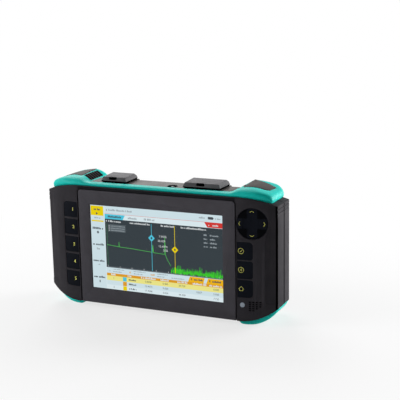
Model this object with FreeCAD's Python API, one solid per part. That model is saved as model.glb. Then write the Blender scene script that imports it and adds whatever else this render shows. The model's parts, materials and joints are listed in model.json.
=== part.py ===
import FreeCAD, Part
import math
import os

# Hand-held optical time domain reflectometer: a wide tablet-shaped instrument that stands upright.
# While it is modelled, +X is to the right of somebody facing the screen, +Y runs from the front panel
# (y = 0) to the back, and +Z is up from the surface it stands on. Millimetres throughout.
# export() moves the finished pieces so that y = 0 is halfway through the depth.

# ---- screen and body ---------------------------------------------------------------------------
SCREEN_W = 152.4          # picture of a 7 inch, 5:3 panel
SCREEN_H = 91.44
BEZEL_SIDE = 14.5         # panel beside the picture, out to the seam
CHIN = 17.28              # shell below the picture
BROW = 19.6               # shell above the picture
WING = 41.3               # width of each side wing, seam to side wall
WING_SWEEP = 10.0         # how far back the wing has curved at the side wall
SHOULDER_DROP = 8.1       # fall of the top edge over the wing
HIP_RISE = 13.9           # rise of the bottom edge over the wing
FOOT_H = 5.5              # bumper feet below the shell
BODY_D = 64.5             # front panel to rear face
REAR_PAD_T = 1.5          # rubber pads that stand out of the rear face
TAPER_Y = 44.5            # depth at which the side walls start to lean in
TAPER_IN = 14.0           # how far they have leaned in at the rear face
BEVEL_Y = 38.0            # depth at which the top starts to slope down to the back
HEEL = 10.0               # bevel along the bottom rear edge
WALL = 2.6
PART_Y = 29.0             # parting plane of the two shells
SEAM_GAP = 0.6            # visible groove at the parting plane

# ---- centre panel and display ------------------------------------------------------------------
GROOVE = 1.2              # dark groove each side of the centre panel
BEZEL_T = 2.4
BEZEL_LIP = 0.8           # bezel in front of the glass
BEZEL_TOP_GAP = 3.3       # shell showing above the centre panel
BEZEL_CORNER = 3.5
WINDOW_GAP = 0.2
GLASS_MARGIN = 3.8
LCD_MARGIN = 5.6
LCD_T = 5.6
FIT = 0.3                 # general clearance round a seated piece
FRAME_T = 1.2
FRAME_FLANGE = 4.5
FRAME_SLACK = 1.0         # display's edge to the frame's side flange
FRAME_SHORT = 3.0         # frame inside the picture's upper and lower edges
FRAME_RIM = 27.0          # width of the frame's side members
TAIL_W = 24.0             # flat cable on the back of the display

# ---- keys --------------------------------------------------------------------------------------
KEY_GAP = 0.25            # between a key and its opening
KEY_SINK = 0.3            # key face behind the shell's face
KEY_TRAVEL = 0.8
KEY_FLANGE = 1.1
KEY_START = 1.5           # key edge to the seam
LEFT_KEYS = 5
LEFT_KEY_W = 17.0
LEFT_KEY_H = 16.6
LEFT_KEY_PITCH = 19.3
LEFT_KEY_MID = 0.4        # middle of the row above the screen's centre
RIGHT_KEYS = ("key_ok", "key_back", "key_home")
RIGHT_KEY_W = 15.9
RIGHT_KEY_SPACE = 1.75    # between two keys of the right row
KEYS_TO_PAD = 3.5         # right row's top edge to the direction pad
KEYS_TO_SPEAKER = 1.55    # right row's bottom edge to the speaker
KEY_CORNER = 2.2          # outer corners of the right keys
KEY_END_CORNER = 4.0      # outer corner at each end of a row
FLANGE_T = 1.2
STEM_SLACK = 0.1          # between a pressed key's stem and its switch
BOARD_T = 1.6
DOME_R = 3.2
DOME_H = 0.5
KEY_BOARD_OUT = 23.2      # key board's outer edge from the seam
LEFT_BOARD_OVER = 1.1     # board past the ends of its row of keys
RIGHT_BOARD_OVER = -0.6
POST_R = 1.6
POST_IN = 4.0             # post's centre inside the board's end

# ---- direction pad -----------------------------------------------------------------------------
PAD_R = 15.75
PAD_OFF = 16.9            # pad centre from the seam
PAD_DOWN = 25.92          # pad centre below the shell's top
PAD_GAP = 0.5
PAD_SINK = 1.5            # flat pad's face behind the curved shell at its centre
PAD_T = 3.0
PAD_CROSS_W = 11.0
PAD_CROSS_L = 19.5
PAD_CROSS_DEPTH = 0.6
PAD_STEM = 2.0            # half the width of the stem behind the pad
PIVOT_IN = 8.4            # pivot behind the shell's face
GIMBAL_R = 6.0
GIMBAL_BORE = 4.2
GIMBAL_T = 2.6
PIN_R = 0.8
RUN_FIT = 0.05            # radial clearance of a running fit
PAD_POST_R = 1.1
BRACKET_BACK = 4.5        # bracket plate behind the pivot
BRACKET_T = 1.5
BRACKET_HALF = 4.0
BRACKET_EAR_T = 2.4

# ---- sound and light ---------------------------------------------------------------------------
SPEAKER_OFF = 20.6
SPEAKER_UP = 16.7         # speaker's centre above the shell's bottom
SPEAKER_HALF = 7.4
SPEAKER_T = 4.0
MAGNET_HALF = 4.6
MAGNET_T = 6.2
HOLE_HALF = 0.55
HOLE_PITCH_X = 3.5
HOLE_PITCH_Z = 2.2
HOLE_COLUMNS = (5, 5, 4, 3)
LENS_OFF = 6.5
LENS_UP = 17.6            # lens centre above the shell's bottom
LENS_R = 2.6
LENS_FLANGE = 1.2
SIDE_GROOVES = (2.8, 7.0) # grooves of the side wall below its upper end
SIDE_GROOVE_W = 0.9
SIDE_GROOVE_T = 0.5
GRIP_W = 11.5             # sunk panel on each wing, from the side wall
GRIP_T = 0.4

# ---- bottom feet -------------------------------------------------------------------------------
FOOT_IN = 2.5             # foot's inner end inside the seam
FOOT_RAMP = 5.5
FOOT_FLAT = 7.8
FOOT_SET = 4.6            # foot's face behind the shell's

# ---- top: bumper, deck, caps -------------------------------------------------------------------
STRIP_H = 2.7             # bumper strip above the shell
STRIP_BACK = 10.0
STRIP_IN = 0.8            # bumper's face behind the shell's front rim
RIDGE_H = 9.9             # top of the corner bumps above the shell
RIDGE_IN = 39.5           # ridge from the side wall
RAMP_W = 10.5             # ridge to the foot of the inner ramp
BUMP_END_IN = 4.3         # bump's end face inside the side wall
BROW_IN = 7.0             # outer shoulder of a bump, from its end face
BROW_UP = 4.0             # outer shoulder above the shell
CHEEK_DOWN = 1.5          # where the end face starts, below the shell's top
CROWN_RISE = 1.1          # how far a bump's back is bowed
NOSE_UP = 1.2             # front edge above the shell
NOSE_L = 13.2             # depth of the rounded nose
NOSE_DROP = 1.3           # nose's upper end below the ridge
RIDGE_END = 49.0          # depth at which the ridge ends
TAIL_L = 8.5              # rounded fall behind the ridge
TAIL_FALL = 69.0          # slope behind it, in degrees
BUMPER_REAR = 1.0         # bumper's end before the rear face
BUMPER_SKIRT = 20.0       # how far the bumper wraps down over the sloping rear
INSERT_T = 1.6
INSERT_IN = 1.2
INSERT_Y0 = 14.8
INSERT_L = 33.7
INSERT_NECK = 18.5        # insert's length at its outer end
COMB_Y0 = 18.0
COMB_L = 28.0
COMB_DEPTH = 3.0
COMB_SINK = 0.7
COMB_EDGE = 1.4           # comb's upper edge below the ridge
COMB_FOOT = 2.3           # comb's lower edge above the ramp's foot
COMB_SLOTS = 6
COMB_SLOT_W = 2.6
DECK_T = 2.5
DECK_LAP = 9.5            # how far the deck runs down the sloping rear
DECK_FIT = 0.1            # deck to the bumper
CAP_FRONT = 12.8
CAP_H = 7.4
CAP_NOSE = 2.3            # upright foot of a cap's front
CAP_LEAN = 1.9            # front and ends above it lean in by
CAP_RISE = 1.0            # of a cap's top, front to back
CAP_WALL = 2.2
CAP_SEAT = 0.3
CAP_SKIRT_H = 1.1         # recessed lower rim of a cap
CAP_SKIRT_IN = 0.7
CAP_REAR_DROP = 2.6       # bevel along a cap's rear edge
CAP_PLAY = 0.5            # behind a cap, before its barrel
PIVOT_Y = 42.6
PIVOT_H = 0.6             # cap pin above the shell's top
BARREL_R = 2.3
CAP_PIN_R = 1.0
EAR_W = 3.0
LEFT_CAP = (-68.0, -38.5)
RIGHT_CAP = (27.5, 69.0)
NOTCH_W = 8.6             # finger notch in a cap's front edge
NOTCH_H = 2.7
NOTCH_DEPTH = 2.7
NOTCH_OFF = 1.5           # notch left of the cap's middle
TRAY_WALL = 1.6
TRAY_DEPTH = 14.0
TRAY_Y = (17.5, 36.0)
TRAY_IN = 4.2             # tray's edge inside the cap's end
TRAY_GAP = 0.2
TRAY_SINK = 0.6           # tray's rim below the deck
ADAPTER_R = 4.0
ADAPTER_H = 6.6
ADAPTER_FLANGE = 6.2
ADAPTER_PITCH = 15.0
ADAPTER_TAIL = 6.0
STUB_HALF = 2.6
FERRULE_R = 1.25
FERRULE_BORE = 8.0
USB_W = 13.1
USB_H = 5.7
USB_L = 12.0
USB_TONGUE = 1.8
SERVICE_W = 8.0
SERVICE_H = 3.2
SERVICE_L = 8.0
SERVICE_TONGUE = 0.7
SOCKET_OFF = 3.4          # each socket's middle from the tray's
SOCKET_WALL = 0.4
SOCKET_LIP = 0.6          # sockets above the tray's floor
LINK_T = 3.0
LINK_H = 6.4
POWER_X = 12.5
POWER_Y = 20.0
POWER_R = 3.4
POWER_RING = 1.2
POWER_TRAVEL = 0.8
PLUNGER_HALF = 1.1
SWITCH_HALF = 3.0

# ---- back: stand, battery, screws --------------------------------------------------------------
STAND_W = 100.0
STAND_T = 4.0
STAND_DOWN = 4.0          # stand's pivot below the battery cover
STAND_FOOT = 13.0         # stand's free edge above the shell's bottom
STAND_CORNER = 6.0
STAND_BORDER = 8.0        # rim round the stand's sunk face
STAND_RECESS = 1.2
STAND_GAP = 0.5
STAND_PIN_R = 1.5
COVER_W = 140.0
COVER_H = 31.0
COVER_DOWN = 3.82         # battery cover's upper edge below the rear face's
COVER_T = 2.5
COVER_CORNER = 2.0
COVER_LEDGE = 3.0
COVER_END = 8.0
COVER_SCREW_IN = 4.5
COVER_SCREW_R = 1.0
COVER_SCREW_L = 4.0
COVER_HEAD_R = 1.95
COVER_HEAD_H = 1.3
GRIP_GROOVES = 4
GRIP_GROOVE_W = 2.0
BATTERY_D = 21.0
SCREW_IN = 19.0           # housing screws from the side walls
SCREW_UP = 25.0           # lower screws above the shell's bottom
SCREW_DOWN = 12.82        # upper screws below the rear face's upper edge
SCREW_R = 1.5
HEAD_R = 2.8
HEAD_H = 2.0
HEAD_SINK = 4.0
SCREW_BITE = 8.0          # screw's length in the front pillar
PILLAR_HALF = 3.4
BOSS_HALF = 4.6
REAR_PAD_X = 97.0
REAR_PAD_UP = 21.0        # lower rear pads above the shell's bottom
REAR_PAD_DOWN = 9.82      # upper rear pads below the rear face's upper edge
REAR_PAD_W = 16.0
REAR_PAD_H = 8.0
REAR_PAD_SEAT = 1.0

# ---- boards and optics -------------------------------------------------------------------------
BOARD_BEHIND = 5.0        # main board behind the display's frame
BOARD_OVER = 7.8          # main board past the picture's sides
BOARD_FOOT = 3.72         # main board's lower edge above the picture's
BOARD_GAP = 0.42          # main board below the port board
STANDOFF_IN = 5.0
STANDOFF_HALF = 2.4
OPTICS_W = 68.0
OPTICS_H = 42.0
OPTICS_DOWN = 6.0         # optical module's top below the main board's
OPTICS_IN = 4.0
OPTICS_GAP = 1.0          # optical module to the battery bay
FINS = 6
FIBRE_BOSS = 1.5
FIBRE_R = 0.9
CHIPS = (18.0, 12.0, 14.0, 10.0)
CHIP_PITCH = 20.0
CHIP_T = 1.4

# ---- worked out --------------------------------------------------------------------------------
SEAM_X = SCREEN_W / 2 + BEZEL_SIDE
HALF_W = SEAM_X + WING
SHELL_Z0 = FOOT_H
SCREEN_Z = SHELL_Z0 + CHIN + SCREEN_H / 2
SHELL_Z1 = SCREEN_Z + SCREEN_H / 2 + BROW
PAD_CENTRE_Z = SHELL_Z1 - PAD_DOWN
SPEAKER_Z = SHELL_Z0 + SPEAKER_UP
LENS_Z = SHELL_Z0 + LENS_UP
TOTAL_D = BODY_D + REAR_PAD_T
REAR_TOP = SHELL_Z1 - (BODY_D - BEVEL_Y)
SHOULDER_X = SEAM_X + 1.3
HIP_X = SEAM_X + 2.3
FAR = 400.0               # longer than the instrument, for cutting slabs


def arc_radius(run, drop):
    """Radius of an arc that starts level and falls by drop over run."""
    return (run * run + drop * drop) / (2 * drop)


WING_R = arc_radius(WING, WING_SWEEP)
SHOULDER_R = arc_radius(HALF_W - SHOULDER_X, SHOULDER_DROP)
HIP_R = arc_radius(HALF_W - HIP_X, HIP_RISE)


# ---- geometry helpers --------------------------------------------------------------------------
def vec(x, y, z):
    return FreeCAD.Vector(x, y, z)


def box(x0, x1, y0, y1, z0, z1):
    return Part.makeBox(x1 - x0, y1 - y0, z1 - z0, vec(x0, y0, z0))


def rod(radius, start, direction, length):
    return Part.makeCylinder(radius, length, vec(*start), vec(*direction))


def tube(outer, inner, start, direction, length):
    return rod(outer, start, direction, length).cut(rod(inner, start, direction, length))


def square_post(half, y0, y1, x=0.0, z=0.0):
    """Square bar along Y."""
    return box(x - half, x + half, y0, y1, z - half, z + half)


def mirror(shape):
    return shape.mirror(vec(0, 0, 0), vec(1, 0, 0))


def fused(shapes):
    first, *rest = shapes
    return first.multiFuse(rest).removeSplitter() if rest else first


def on_circle(centre, radius, a, b):
    """Step from a to b round a circle: the end, then the point half-way."""
    du = (a[0] + b[0]) / 2 - centre[0]
    dv = (a[1] + b[1]) / 2 - centre[1]
    k = radius / math.hypot(du, dv)
    return (b[0], b[1], centre[0] + k * du, centre[1] + k * dv)


PLANES = {
    "xy": (lambda u, v, w: vec(u, v, w), vec(0, 0, 1)),
    "xz": (lambda u, v, w: vec(u, w, v), vec(0, 1, 0)),
    "yz": (lambda u, v, w: vec(w, u, v), vec(1, 0, 0)),
}


def prism(plane, low, high, points):
    """Solid between two depths of a plane. A point of two numbers ends a straight edge, and a point
    of four numbers ends an arc that passes through its last two."""
    place, normal = PLANES[plane]
    edges = []
    last = points[-1]
    for point in points:
        a = place(last[0], last[1], low)
        b = place(point[0], point[1], low)
        if len(point) == 4:
            edges.append(Part.Arc(a, place(point[2], point[3], low), b).toShape())
        elif a.distanceToPoint(b) > 1e-6:
            edges.append(Part.makeLine(a, b))
        last = point
    return Part.Face(Part.Wire(edges)).extrude(normal * (high - low))


def rounded(plane, low, high, u0, u1, v0, v1, radii):
    """Prism of a rectangle with its own radius at each corner: low-low, high-low, high-high, low-high."""
    a, b, c, d = radii
    k = 1 - math.sqrt(0.5)
    return prism(plane, low, high, [
        (u0 + a, v0, u0 + a * k, v0 + a * k) if a else (u0, v0),
        (u1 - b, v0),
        (u1, v0 + b, u1 - b * k, v0 + b * k) if b else (u1, v0),
        (u1, v1 - c),
        (u1 - c, v1, u1 - c * k, v1 - c * k) if c else (u1, v1),
        (u0 + d, v1),
        (u0, v1 - d, u0 + d * k, v1 - d * k) if d else (u0, v1),
        (u0, v0 + a),
    ])


# ---- body surfaces -----------------------------------------------------------------------------
def wing_depth(x, inset=0.0):
    """Depth of the front surface, or of one inset behind it, at x from the middle."""
    out = max(abs(x) - SEAM_X, 0.0)
    return WING_R - math.sqrt((WING_R - inset) ** 2 - out * out)


def outline(inset, low, high):
    """Front view of the body, pulled in by inset, as a prism along Y."""
    half = HALF_W - inset
    top = SHELL_Z1 - inset
    bottom = SHELL_Z0 + inset
    shoulder_c = (SHOULDER_X, SHELL_Z1 - SHOULDER_R)
    hip_c = (HIP_X, SHELL_Z0 + HIP_R)
    shoulder_r = SHOULDER_R - inset
    hip_r = HIP_R - inset
    shoulder = (half, shoulder_c[1] + math.sqrt(shoulder_r ** 2 - (half - SHOULDER_X) ** 2))
    hip = (half, hip_c[1] - math.sqrt(hip_r ** 2 - (half - HIP_X) ** 2))
    right = [
        (HIP_X, bottom),
        on_circle(hip_c, hip_r, (HIP_X, bottom), hip),
        shoulder,
        on_circle(shoulder_c, shoulder_r, shoulder, (SHOULDER_X, top)),
    ]
    left = [
        (-SHOULDER_X, top),
        on_circle((-SHOULDER_X, shoulder_c[1]), shoulder_r, (-SHOULDER_X, top), (-half, shoulder[1])),
        (-half, hip[1]),
        on_circle((-HIP_X, hip_c[1]), hip_r, (-half, hip[1]), (-HIP_X, bottom)),
    ]
    return prism("xz", low, high, right + left)


def plan(inset, side_in, low, high, rear=BODY_D):
    """Top view of the body as a prism along Z: inset behind the front, side_in inside the walls."""
    half = HALF_W - side_in
    side = (half, wing_depth(half, inset))
    rear_half = HALF_W - TAPER_IN - side_in
    centre = (SEAM_X, WING_R)
    radius = WING_R - inset
    return prism("xy", low, high, [
        (-half, side[1]),
        on_circle((-centre[0], centre[1]), radius, (-half, side[1]), (-SEAM_X, inset)),
        (SEAM_X, inset),
        on_circle(centre, radius, (SEAM_X, inset), side),
        (half, TAPER_Y),
        (rear_half, rear),
        (-rear_half, rear),
        (-half, TAPER_Y),
    ])


def side_view(inset, low, high):
    """Side view of the body as a prism along X: square front, sloping top rear, bevelled heel."""
    slant = inset * math.sqrt(2.0)
    top = SHELL_Z1 - inset
    bottom = SHELL_Z0 + inset
    rear = BODY_D - inset
    return prism("yz", low, high, [
        (inset, bottom),
        (BODY_D - HEEL + inset - slant, bottom),
        (rear, SHELL_Z0 + HEEL - inset + slant),
        (rear, REAR_TOP + inset - slant),
        (BEVEL_Y + inset - slant, top),
        (inset, top),
    ])


def body(inset=0.0):
    """The whole body as one solid, pulled in by inset on every side."""
    shape = outline(inset, -1, FAR)
    shape = shape.common(plan(inset, inset, -1, FAR, BODY_D - inset))
    return shape.common(side_view(inset, -FAR, FAR))


def slab(y0, y1):
    return box(-FAR, FAR, y0, y1, -FAR, FAR)


def on_wing(shape, x, z):
    """Put a piece, made round the origin with +Y going in, on the right wing's front surface."""
    angle = math.asin((x - SEAM_X) / WING_R)
    shape = shape.copy()
    shape.rotate(vec(0, 0, 0), vec(0, 0, 1), math.degrees(angle))
    shape.translate(vec(x, wing_depth(x), z))
    return shape


OUTER = body()
INNER = body(WALL)


# ---- keys --------------------------------------------------------------------------------------
def key_row(side, names, width, height, z0, z1, corner):
    """Keys of one wing from the top down, between two heights: side, width, height, middle, corners."""
    pitch = (z1 - z0 - height) / (len(names) - 1)
    row = {}
    for number, name in enumerate(names):
        low = KEY_END_CORNER if number == len(names) - 1 else corner
        high = KEY_END_CORNER if number == 0 else corner
        row[name] = (side, width, height, z1 - height / 2 - number * pitch, (low, high))
    return row


LEFT_NAMES = [f"key_{n + 1}" for n in range(LEFT_KEYS)]
LEFT_SPAN = (LEFT_KEYS - 1) * LEFT_KEY_PITCH + LEFT_KEY_H
LEFT_ROW = (SCREEN_Z + LEFT_KEY_MID - LEFT_SPAN / 2, SCREEN_Z + LEFT_KEY_MID + LEFT_SPAN / 2)
RIGHT_ROW = (SPEAKER_Z + SPEAKER_HALF + KEYS_TO_SPEAKER, PAD_CENTRE_Z - PAD_R - KEYS_TO_PAD)
RIGHT_KEY_H = (RIGHT_ROW[1] - RIGHT_ROW[0] + RIGHT_KEY_SPACE) / len(RIGHT_KEYS) - RIGHT_KEY_SPACE
LEFT_SPECS = key_row(-1, LEFT_NAMES, LEFT_KEY_W, LEFT_KEY_H, *LEFT_ROW, 0)
RIGHT_SPECS = key_row(1, RIGHT_KEYS, RIGHT_KEY_W, RIGHT_KEY_H, *RIGHT_ROW, KEY_CORNER)
KEYS = {**LEFT_SPECS, **RIGHT_SPECS}


def key_outline(spec, margin, low, high):
    """Prism along Y of one key's outline; side is -1 for the left wing and 1 for the right."""
    side, width, height, middle, corners = spec
    x0 = SEAM_X + KEY_START - margin
    x1 = SEAM_X + KEY_START + width + margin
    z0 = middle - height / 2 - margin
    z1 = middle + height / 2 + margin
    shape = rounded("xz", low, high, x0, x1, z0, z1, (0, *corners, 0))
    return shape if side > 0 else mirror(shape)


def flange_depth(width):
    """Front of a key's flange: just behind the wall's inner face at the key's outer edge."""
    return wing_depth(SEAM_X + KEY_START + width + KEY_FLANGE, WALL) + KEY_SINK


FLANGE_Y = flange_depth(LEFT_KEY_W)
BOARD_Y = FLANGE_Y + FLANGE_T + 2 * KEY_TRAVEL + FIT + DOME_H


def key(spec):
    side, width, height, middle, _ = spec
    stem = key_outline(spec, 0, -1, FLANGE_Y + FLANGE_T / 2)
    face = stem.common(body(KEY_SINK))
    x0 = SEAM_X + KEY_START
    flange = box(x0, x0 + width + KEY_FLANGE, FLANGE_Y, FLANGE_Y + FLANGE_T,
                 middle - height / 2, middle + height / 2)
    tip_y = BOARD_Y - DOME_H - KEY_TRAVEL - STEM_SLACK
    tip = square_post(DOME_R * 0.6, FLANGE_Y, tip_y, x0 + width / 2, middle)
    if side < 0:
        flange, tip = mirror(flange), mirror(tip)
    return fused([face, flange, tip])


def key_board(side, specs, z0, z1):
    """Circuit board behind one wing's keys, with a flat switch under each key."""
    x0 = SEAM_X + KEY_START
    x1 = SEAM_X + KEY_BOARD_OUT
    pieces = [box(x0, x1, BOARD_Y, BOARD_Y + BOARD_T, z0, z1)]
    for _, width, _, middle, _ in specs.values():
        pieces.append(square_post(DOME_R, BOARD_Y - DOME_H, BOARD_Y, x0 + width / 2, middle))
    shape = fused(pieces)
    return shape if side > 0 else mirror(shape)


def board_posts(side, z0, z1):
    """Posts inside the front wall that carry a key board: near its ends and half-way."""
    x = SEAM_X + KEY_BOARD_OUT - POST_R
    start = wing_depth(x, WALL / 2)
    posts = [square_post(POST_R, start, BOARD_Y, x, z) for z in (z0 + POST_IN, (z0 + z1) / 2, z1 - POST_IN)]
    return [p if side > 0 else mirror(p) for p in posts]


LEFT_BOARD = (LEFT_ROW[0] - LEFT_BOARD_OVER, LEFT_ROW[1] + LEFT_BOARD_OVER)
RIGHT_BOARD = (RIGHT_ROW[0] - RIGHT_BOARD_OVER, RIGHT_ROW[1] + RIGHT_BOARD_OVER)
PAD_X0 = SEAM_X + PAD_OFF
PAD_REACH = PAD_R + PAD_GAP + PAD_POST_R + FIT
BRACKET_Y = PIVOT_IN + BRACKET_BACK


# ---- front housing -----------------------------------------------------------------------------
def seam_cut():
    """Groove that shows between the shells and the channel that holds the seal."""
    visible = slab(PART_Y - SEAM_GAP / 2, PART_Y + SEAM_GAP / 2).cut(body(SEAM_GAP))
    return visible.fuse(gasket())


def gasket():
    ring = body(1.0).cut(body(WALL)).common(slab(PART_Y - 0.5, PART_Y + 0.5))
    return ring.cut(Part.makeCompound([port_well(cap, TRAY_GAP) for cap in CAPS.values()]))


def side_grooves():
    """Two shallow grooves that run round each side wall under the shoulder."""
    skin = slab(-1, FAR).cut(outline(SIDE_GROOVE_T, -2, FAR + 1))
    skin = skin.common(OUTER)
    y0 = wing_depth(HALF_W) - SIDE_GROOVE_T
    tops = [SHELL_Z1 - SHOULDER_DROP - down for down in SIDE_GROOVES]
    return [skin.common(box(-FAR, FAR, y0, FAR, z - SIDE_GROOVE_W, z)) for z in tops]


def grip_panel():
    """Shallow sunk panel near the outer edge of the right wing's front, with one long slanted end."""
    x_in = HALF_W - GRIP_W
    low = SHELL_Z0 + HIP_RISE + GRIP_W / 2
    high = SHELL_Z1 - SHOULDER_DROP - GRIP_W
    points = [
        (x_in + 1.5, low),
        (HALF_W + 5, low),
        (HALF_W + 5, high),
        (HALF_W - GRIP_W / 2, high),
        (x_in, high - 2 * GRIP_W),
        (x_in, low + 2),
    ]
    skin = plan(0, 0, -FAR, FAR).cut(plan(GRIP_T, 0, -FAR - 1, FAR + 1))
    return prism("xz", -1, 2 * WING_SWEEP, points).common(skin)


def screw_places():
    heights = (REAR_TOP - SCREW_DOWN, SHELL_Z0 + SCREW_UP)
    return [(s * (HALF_W - SCREW_IN), z) for s in (-1, 1) for z in heights]


def front_pillars():
    """Screw pillars, each joined to the side wall by a web."""
    pillars = []
    y0 = BOARD_Y + BOARD_T + WALL
    for x, z in screw_places():
        wall_x = math.copysign(HALF_W - WALL / 2, x)
        pillars.append(square_post(PILLAR_HALF, y0, PART_Y, x, z))
        pillars.append(box(min(x, wall_x), max(x, wall_x), y0, PART_Y, z - WALL / 2, z + WALL / 2))
    return pillars


def front_housing():
    shell = OUTER.cut(INNER).common(slab(-1, PART_Y))
    centre = box(-SEAM_X - GROOVE - WALL, SEAM_X + GROOVE + WALL, 0, BEZEL_T + WALL, -FAR, FAR)
    shell = shell.fuse(centre.common(OUTER)).removeSplitter()
    pocket_top = SHELL_Z1 - BEZEL_TOP_GAP
    pocket_x = SEAM_X + GROOVE / 2
    cuts = [
        rounded("xz", -1, BEZEL_T, -pocket_x, pocket_x, -1, pocket_top, (0, 0, BEZEL_CORNER, BEZEL_CORNER)),
        box(-SCREEN_W / 2 - LCD_MARGIN - FIT, SCREEN_W / 2 + LCD_MARGIN + FIT, 0, BEZEL_T + WALL + 1,
            SCREEN_Z - SCREEN_H / 2 - LCD_MARGIN - FIT, SCREEN_Z + SCREEN_H / 2 + LCD_MARGIN + FIT),
        seam_cut(),
        grip_panel(),
        mirror(grip_panel()),
    ]
    cuts += [key_outline(spec, KEY_GAP, -1, FLANGE_Y) for spec in KEYS.values()]
    cuts.append(on_wing(rod(PAD_R + PAD_GAP, (0, -5, 0), (0, 1, 0), 14), PAD_X0, PAD_CENTRE_Z))
    cuts.append(on_wing(rod(LENS_R, (0, -2, 0), (0, 1, 0), 8), SEAM_X + LENS_OFF, LENS_Z))
    cuts += speaker_holes()
    cuts += side_grooves()
    adds = board_posts(-1, *LEFT_BOARD) + board_posts(1, *RIGHT_BOARD) + front_pillars() + pad_posts()
    shell = fused([shell] + adds)
    for x, z in screw_places():
        cuts.append(rod(SCREW_R, (x, PART_Y - SCREW_BITE - 1, z), (0, 1, 0), FAR))
    return shell.cut(Part.makeCompound(cuts))


def pad_posts():
    posts = [square_post(PAD_POST_R, WALL / 2, BRACKET_Y, 0, z) for z in (-PAD_REACH, PAD_REACH)]
    return [on_wing(post, PAD_X0, PAD_CENTRE_Z) for post in posts]


def speaker_holes():
    holes = []
    columns = len(HOLE_COLUMNS)
    for c, count in enumerate(HOLE_COLUMNS):
        for r in range(count):
            u = (c - (columns - 1) / 2) * HOLE_PITCH_X
            w = (2 - r) * HOLE_PITCH_Z
            hole = square_post(HOLE_HALF, -3, WALL + 2, u, w)
            holes.append(on_wing(hole, SEAM_X + SPEAKER_OFF, SPEAKER_Z))
    return holes


def speaker():
    y0 = WALL + 2 * FIT
    frame = square_post(SPEAKER_HALF, y0, y0 + SPEAKER_T)
    magnet = square_post(MAGNET_HALF, y0, y0 + MAGNET_T)
    return on_wing(fused([frame, magnet]), SEAM_X + SPEAKER_OFF, SPEAKER_Z)


def light_lens():
    deep = BEZEL_T + WALL + FIT
    lens = rod(LENS_R - RUN_FIT, (0, 0.1, 0), (0, 1, 0), deep)
    flange = square_post(LENS_R + LENS_FLANGE, deep, deep + LENS_FLANGE)
    return on_wing(fused([lens, flange]), SEAM_X + LENS_OFF, LENS_Z)


# ---- display stack -----------------------------------------------------------------------------
def window(margin, low, high):
    return box(-SCREEN_W / 2 - margin, SCREEN_W / 2 + margin, low, high,
               SCREEN_Z - SCREEN_H / 2 - margin, SCREEN_Z + SCREEN_H / 2 + margin)


def display_bezel():
    half = SEAM_X - GROOVE / 2
    top = SHELL_Z1 - BEZEL_TOP_GAP - GROOVE / 4
    plate = rounded("xz", 0, BEZEL_T, -half, half, SHELL_Z0, top, (0, 0, BEZEL_CORNER, BEZEL_CORNER))
    rim = [e for e in plate.Edges if e.BoundBox.YMax < 0.01]
    plate = plate.makeChamfer(0.5, rim)
    plate = plate.cut(window(WINDOW_GAP, -1, BEZEL_T + 1))
    return plate.cut(window(GLASS_MARGIN + WINDOW_GAP, BEZEL_LIP, BEZEL_T + 1))


def display_glass():
    return window(GLASS_MARGIN, BEZEL_LIP, BEZEL_T)


def lcd_module():
    module = window(LCD_MARGIN, BEZEL_T, BEZEL_T + LCD_T)
    tail = box(-TAIL_W / 2, TAIL_W / 2, FRAME_Y, FRAME_Y + FIT, SCREEN_Z - TAIL_W, SCREEN_Z)
    return module.fuse(tail).removeSplitter()


FRAME_Y = BEZEL_T + LCD_T
MAIN_BOARD_Y = FRAME_Y + FRAME_T + BOARD_BEHIND
BOARD_X = SCREEN_W / 2 + BOARD_OVER
TRAY_FLOOR = SHELL_Z1 + DECK_T - TRAY_DEPTH + TRAY_WALL
PORT_BOARD_Z = TRAY_FLOOR + SOCKET_LIP - USB_L
BOARD_Z0 = SCREEN_Z - SCREEN_H / 2 + BOARD_FOOT
BOARD_Z1 = PORT_BOARD_Z - BOARD_T - BOARD_GAP


def lcd_frame():
    """Pressed frame that clamps the display at its sides and carries the main board."""
    half = SCREEN_W / 2 + LCD_MARGIN + FRAME_SLACK + FRAME_FLANGE
    tall = SCREEN_H / 2 - FRAME_SHORT
    plate = box(-half, half, FRAME_Y, FRAME_Y + FRAME_T, SCREEN_Z - tall, SCREEN_Z + tall)
    open_x = half - FRAME_RIM
    open_z = tall - FRAME_RIM / 2
    opening = box(-open_x, open_x, FRAME_Y - 1, FRAME_Y + FRAME_T + 1, SCREEN_Z - open_z, SCREEN_Z + open_z)
    pieces = [plate.cut(opening)]
    for side in (-1, 1):
        inner, outer = sorted((side * (half - FRAME_FLANGE), side * half))
        pieces.append(box(inner, outer, BEZEL_T + WALL, FRAME_Y, SCREEN_Z - tall, SCREEN_Z + tall))
        for z in (-tall + STANDOFF_IN, tall - STANDOFF_IN):
            x = side * (BOARD_X - STANDOFF_IN)
            pieces.append(square_post(STANDOFF_HALF, FRAME_Y, MAIN_BOARD_Y, x, SCREEN_Z + z))
    return fused(pieces)


# ---- direction pad -----------------------------------------------------------------------------
def dpad():
    """Round pad with a sunk cross, on a stem whose pin tilts in the gimbal."""
    y0 = PAD_SINK
    disc = rod(PAD_R, (0, y0, 0), (0, 1, 0), PAD_T)
    arm = PAD_CROSS_L / 2
    w = PAD_CROSS_W / 2
    cross = box(-arm, arm, y0 - 1, y0 + PAD_CROSS_DEPTH, -w, w).fuse(
        box(-w, w, y0 - 1, y0 + PAD_CROSS_DEPTH, -arm, arm))
    stem = square_post(PAD_STEM, y0 + PAD_T / 2, PIVOT_IN + GIMBAL_T / 2)
    pin = rod(PIN_R, (-GIMBAL_R, PIVOT_IN, 0), (1, 0, 0), 2 * GIMBAL_R)
    return on_wing(fused([disc.cut(cross), stem, pin]), PAD_X0, PAD_CENTRE_Z)


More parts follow.
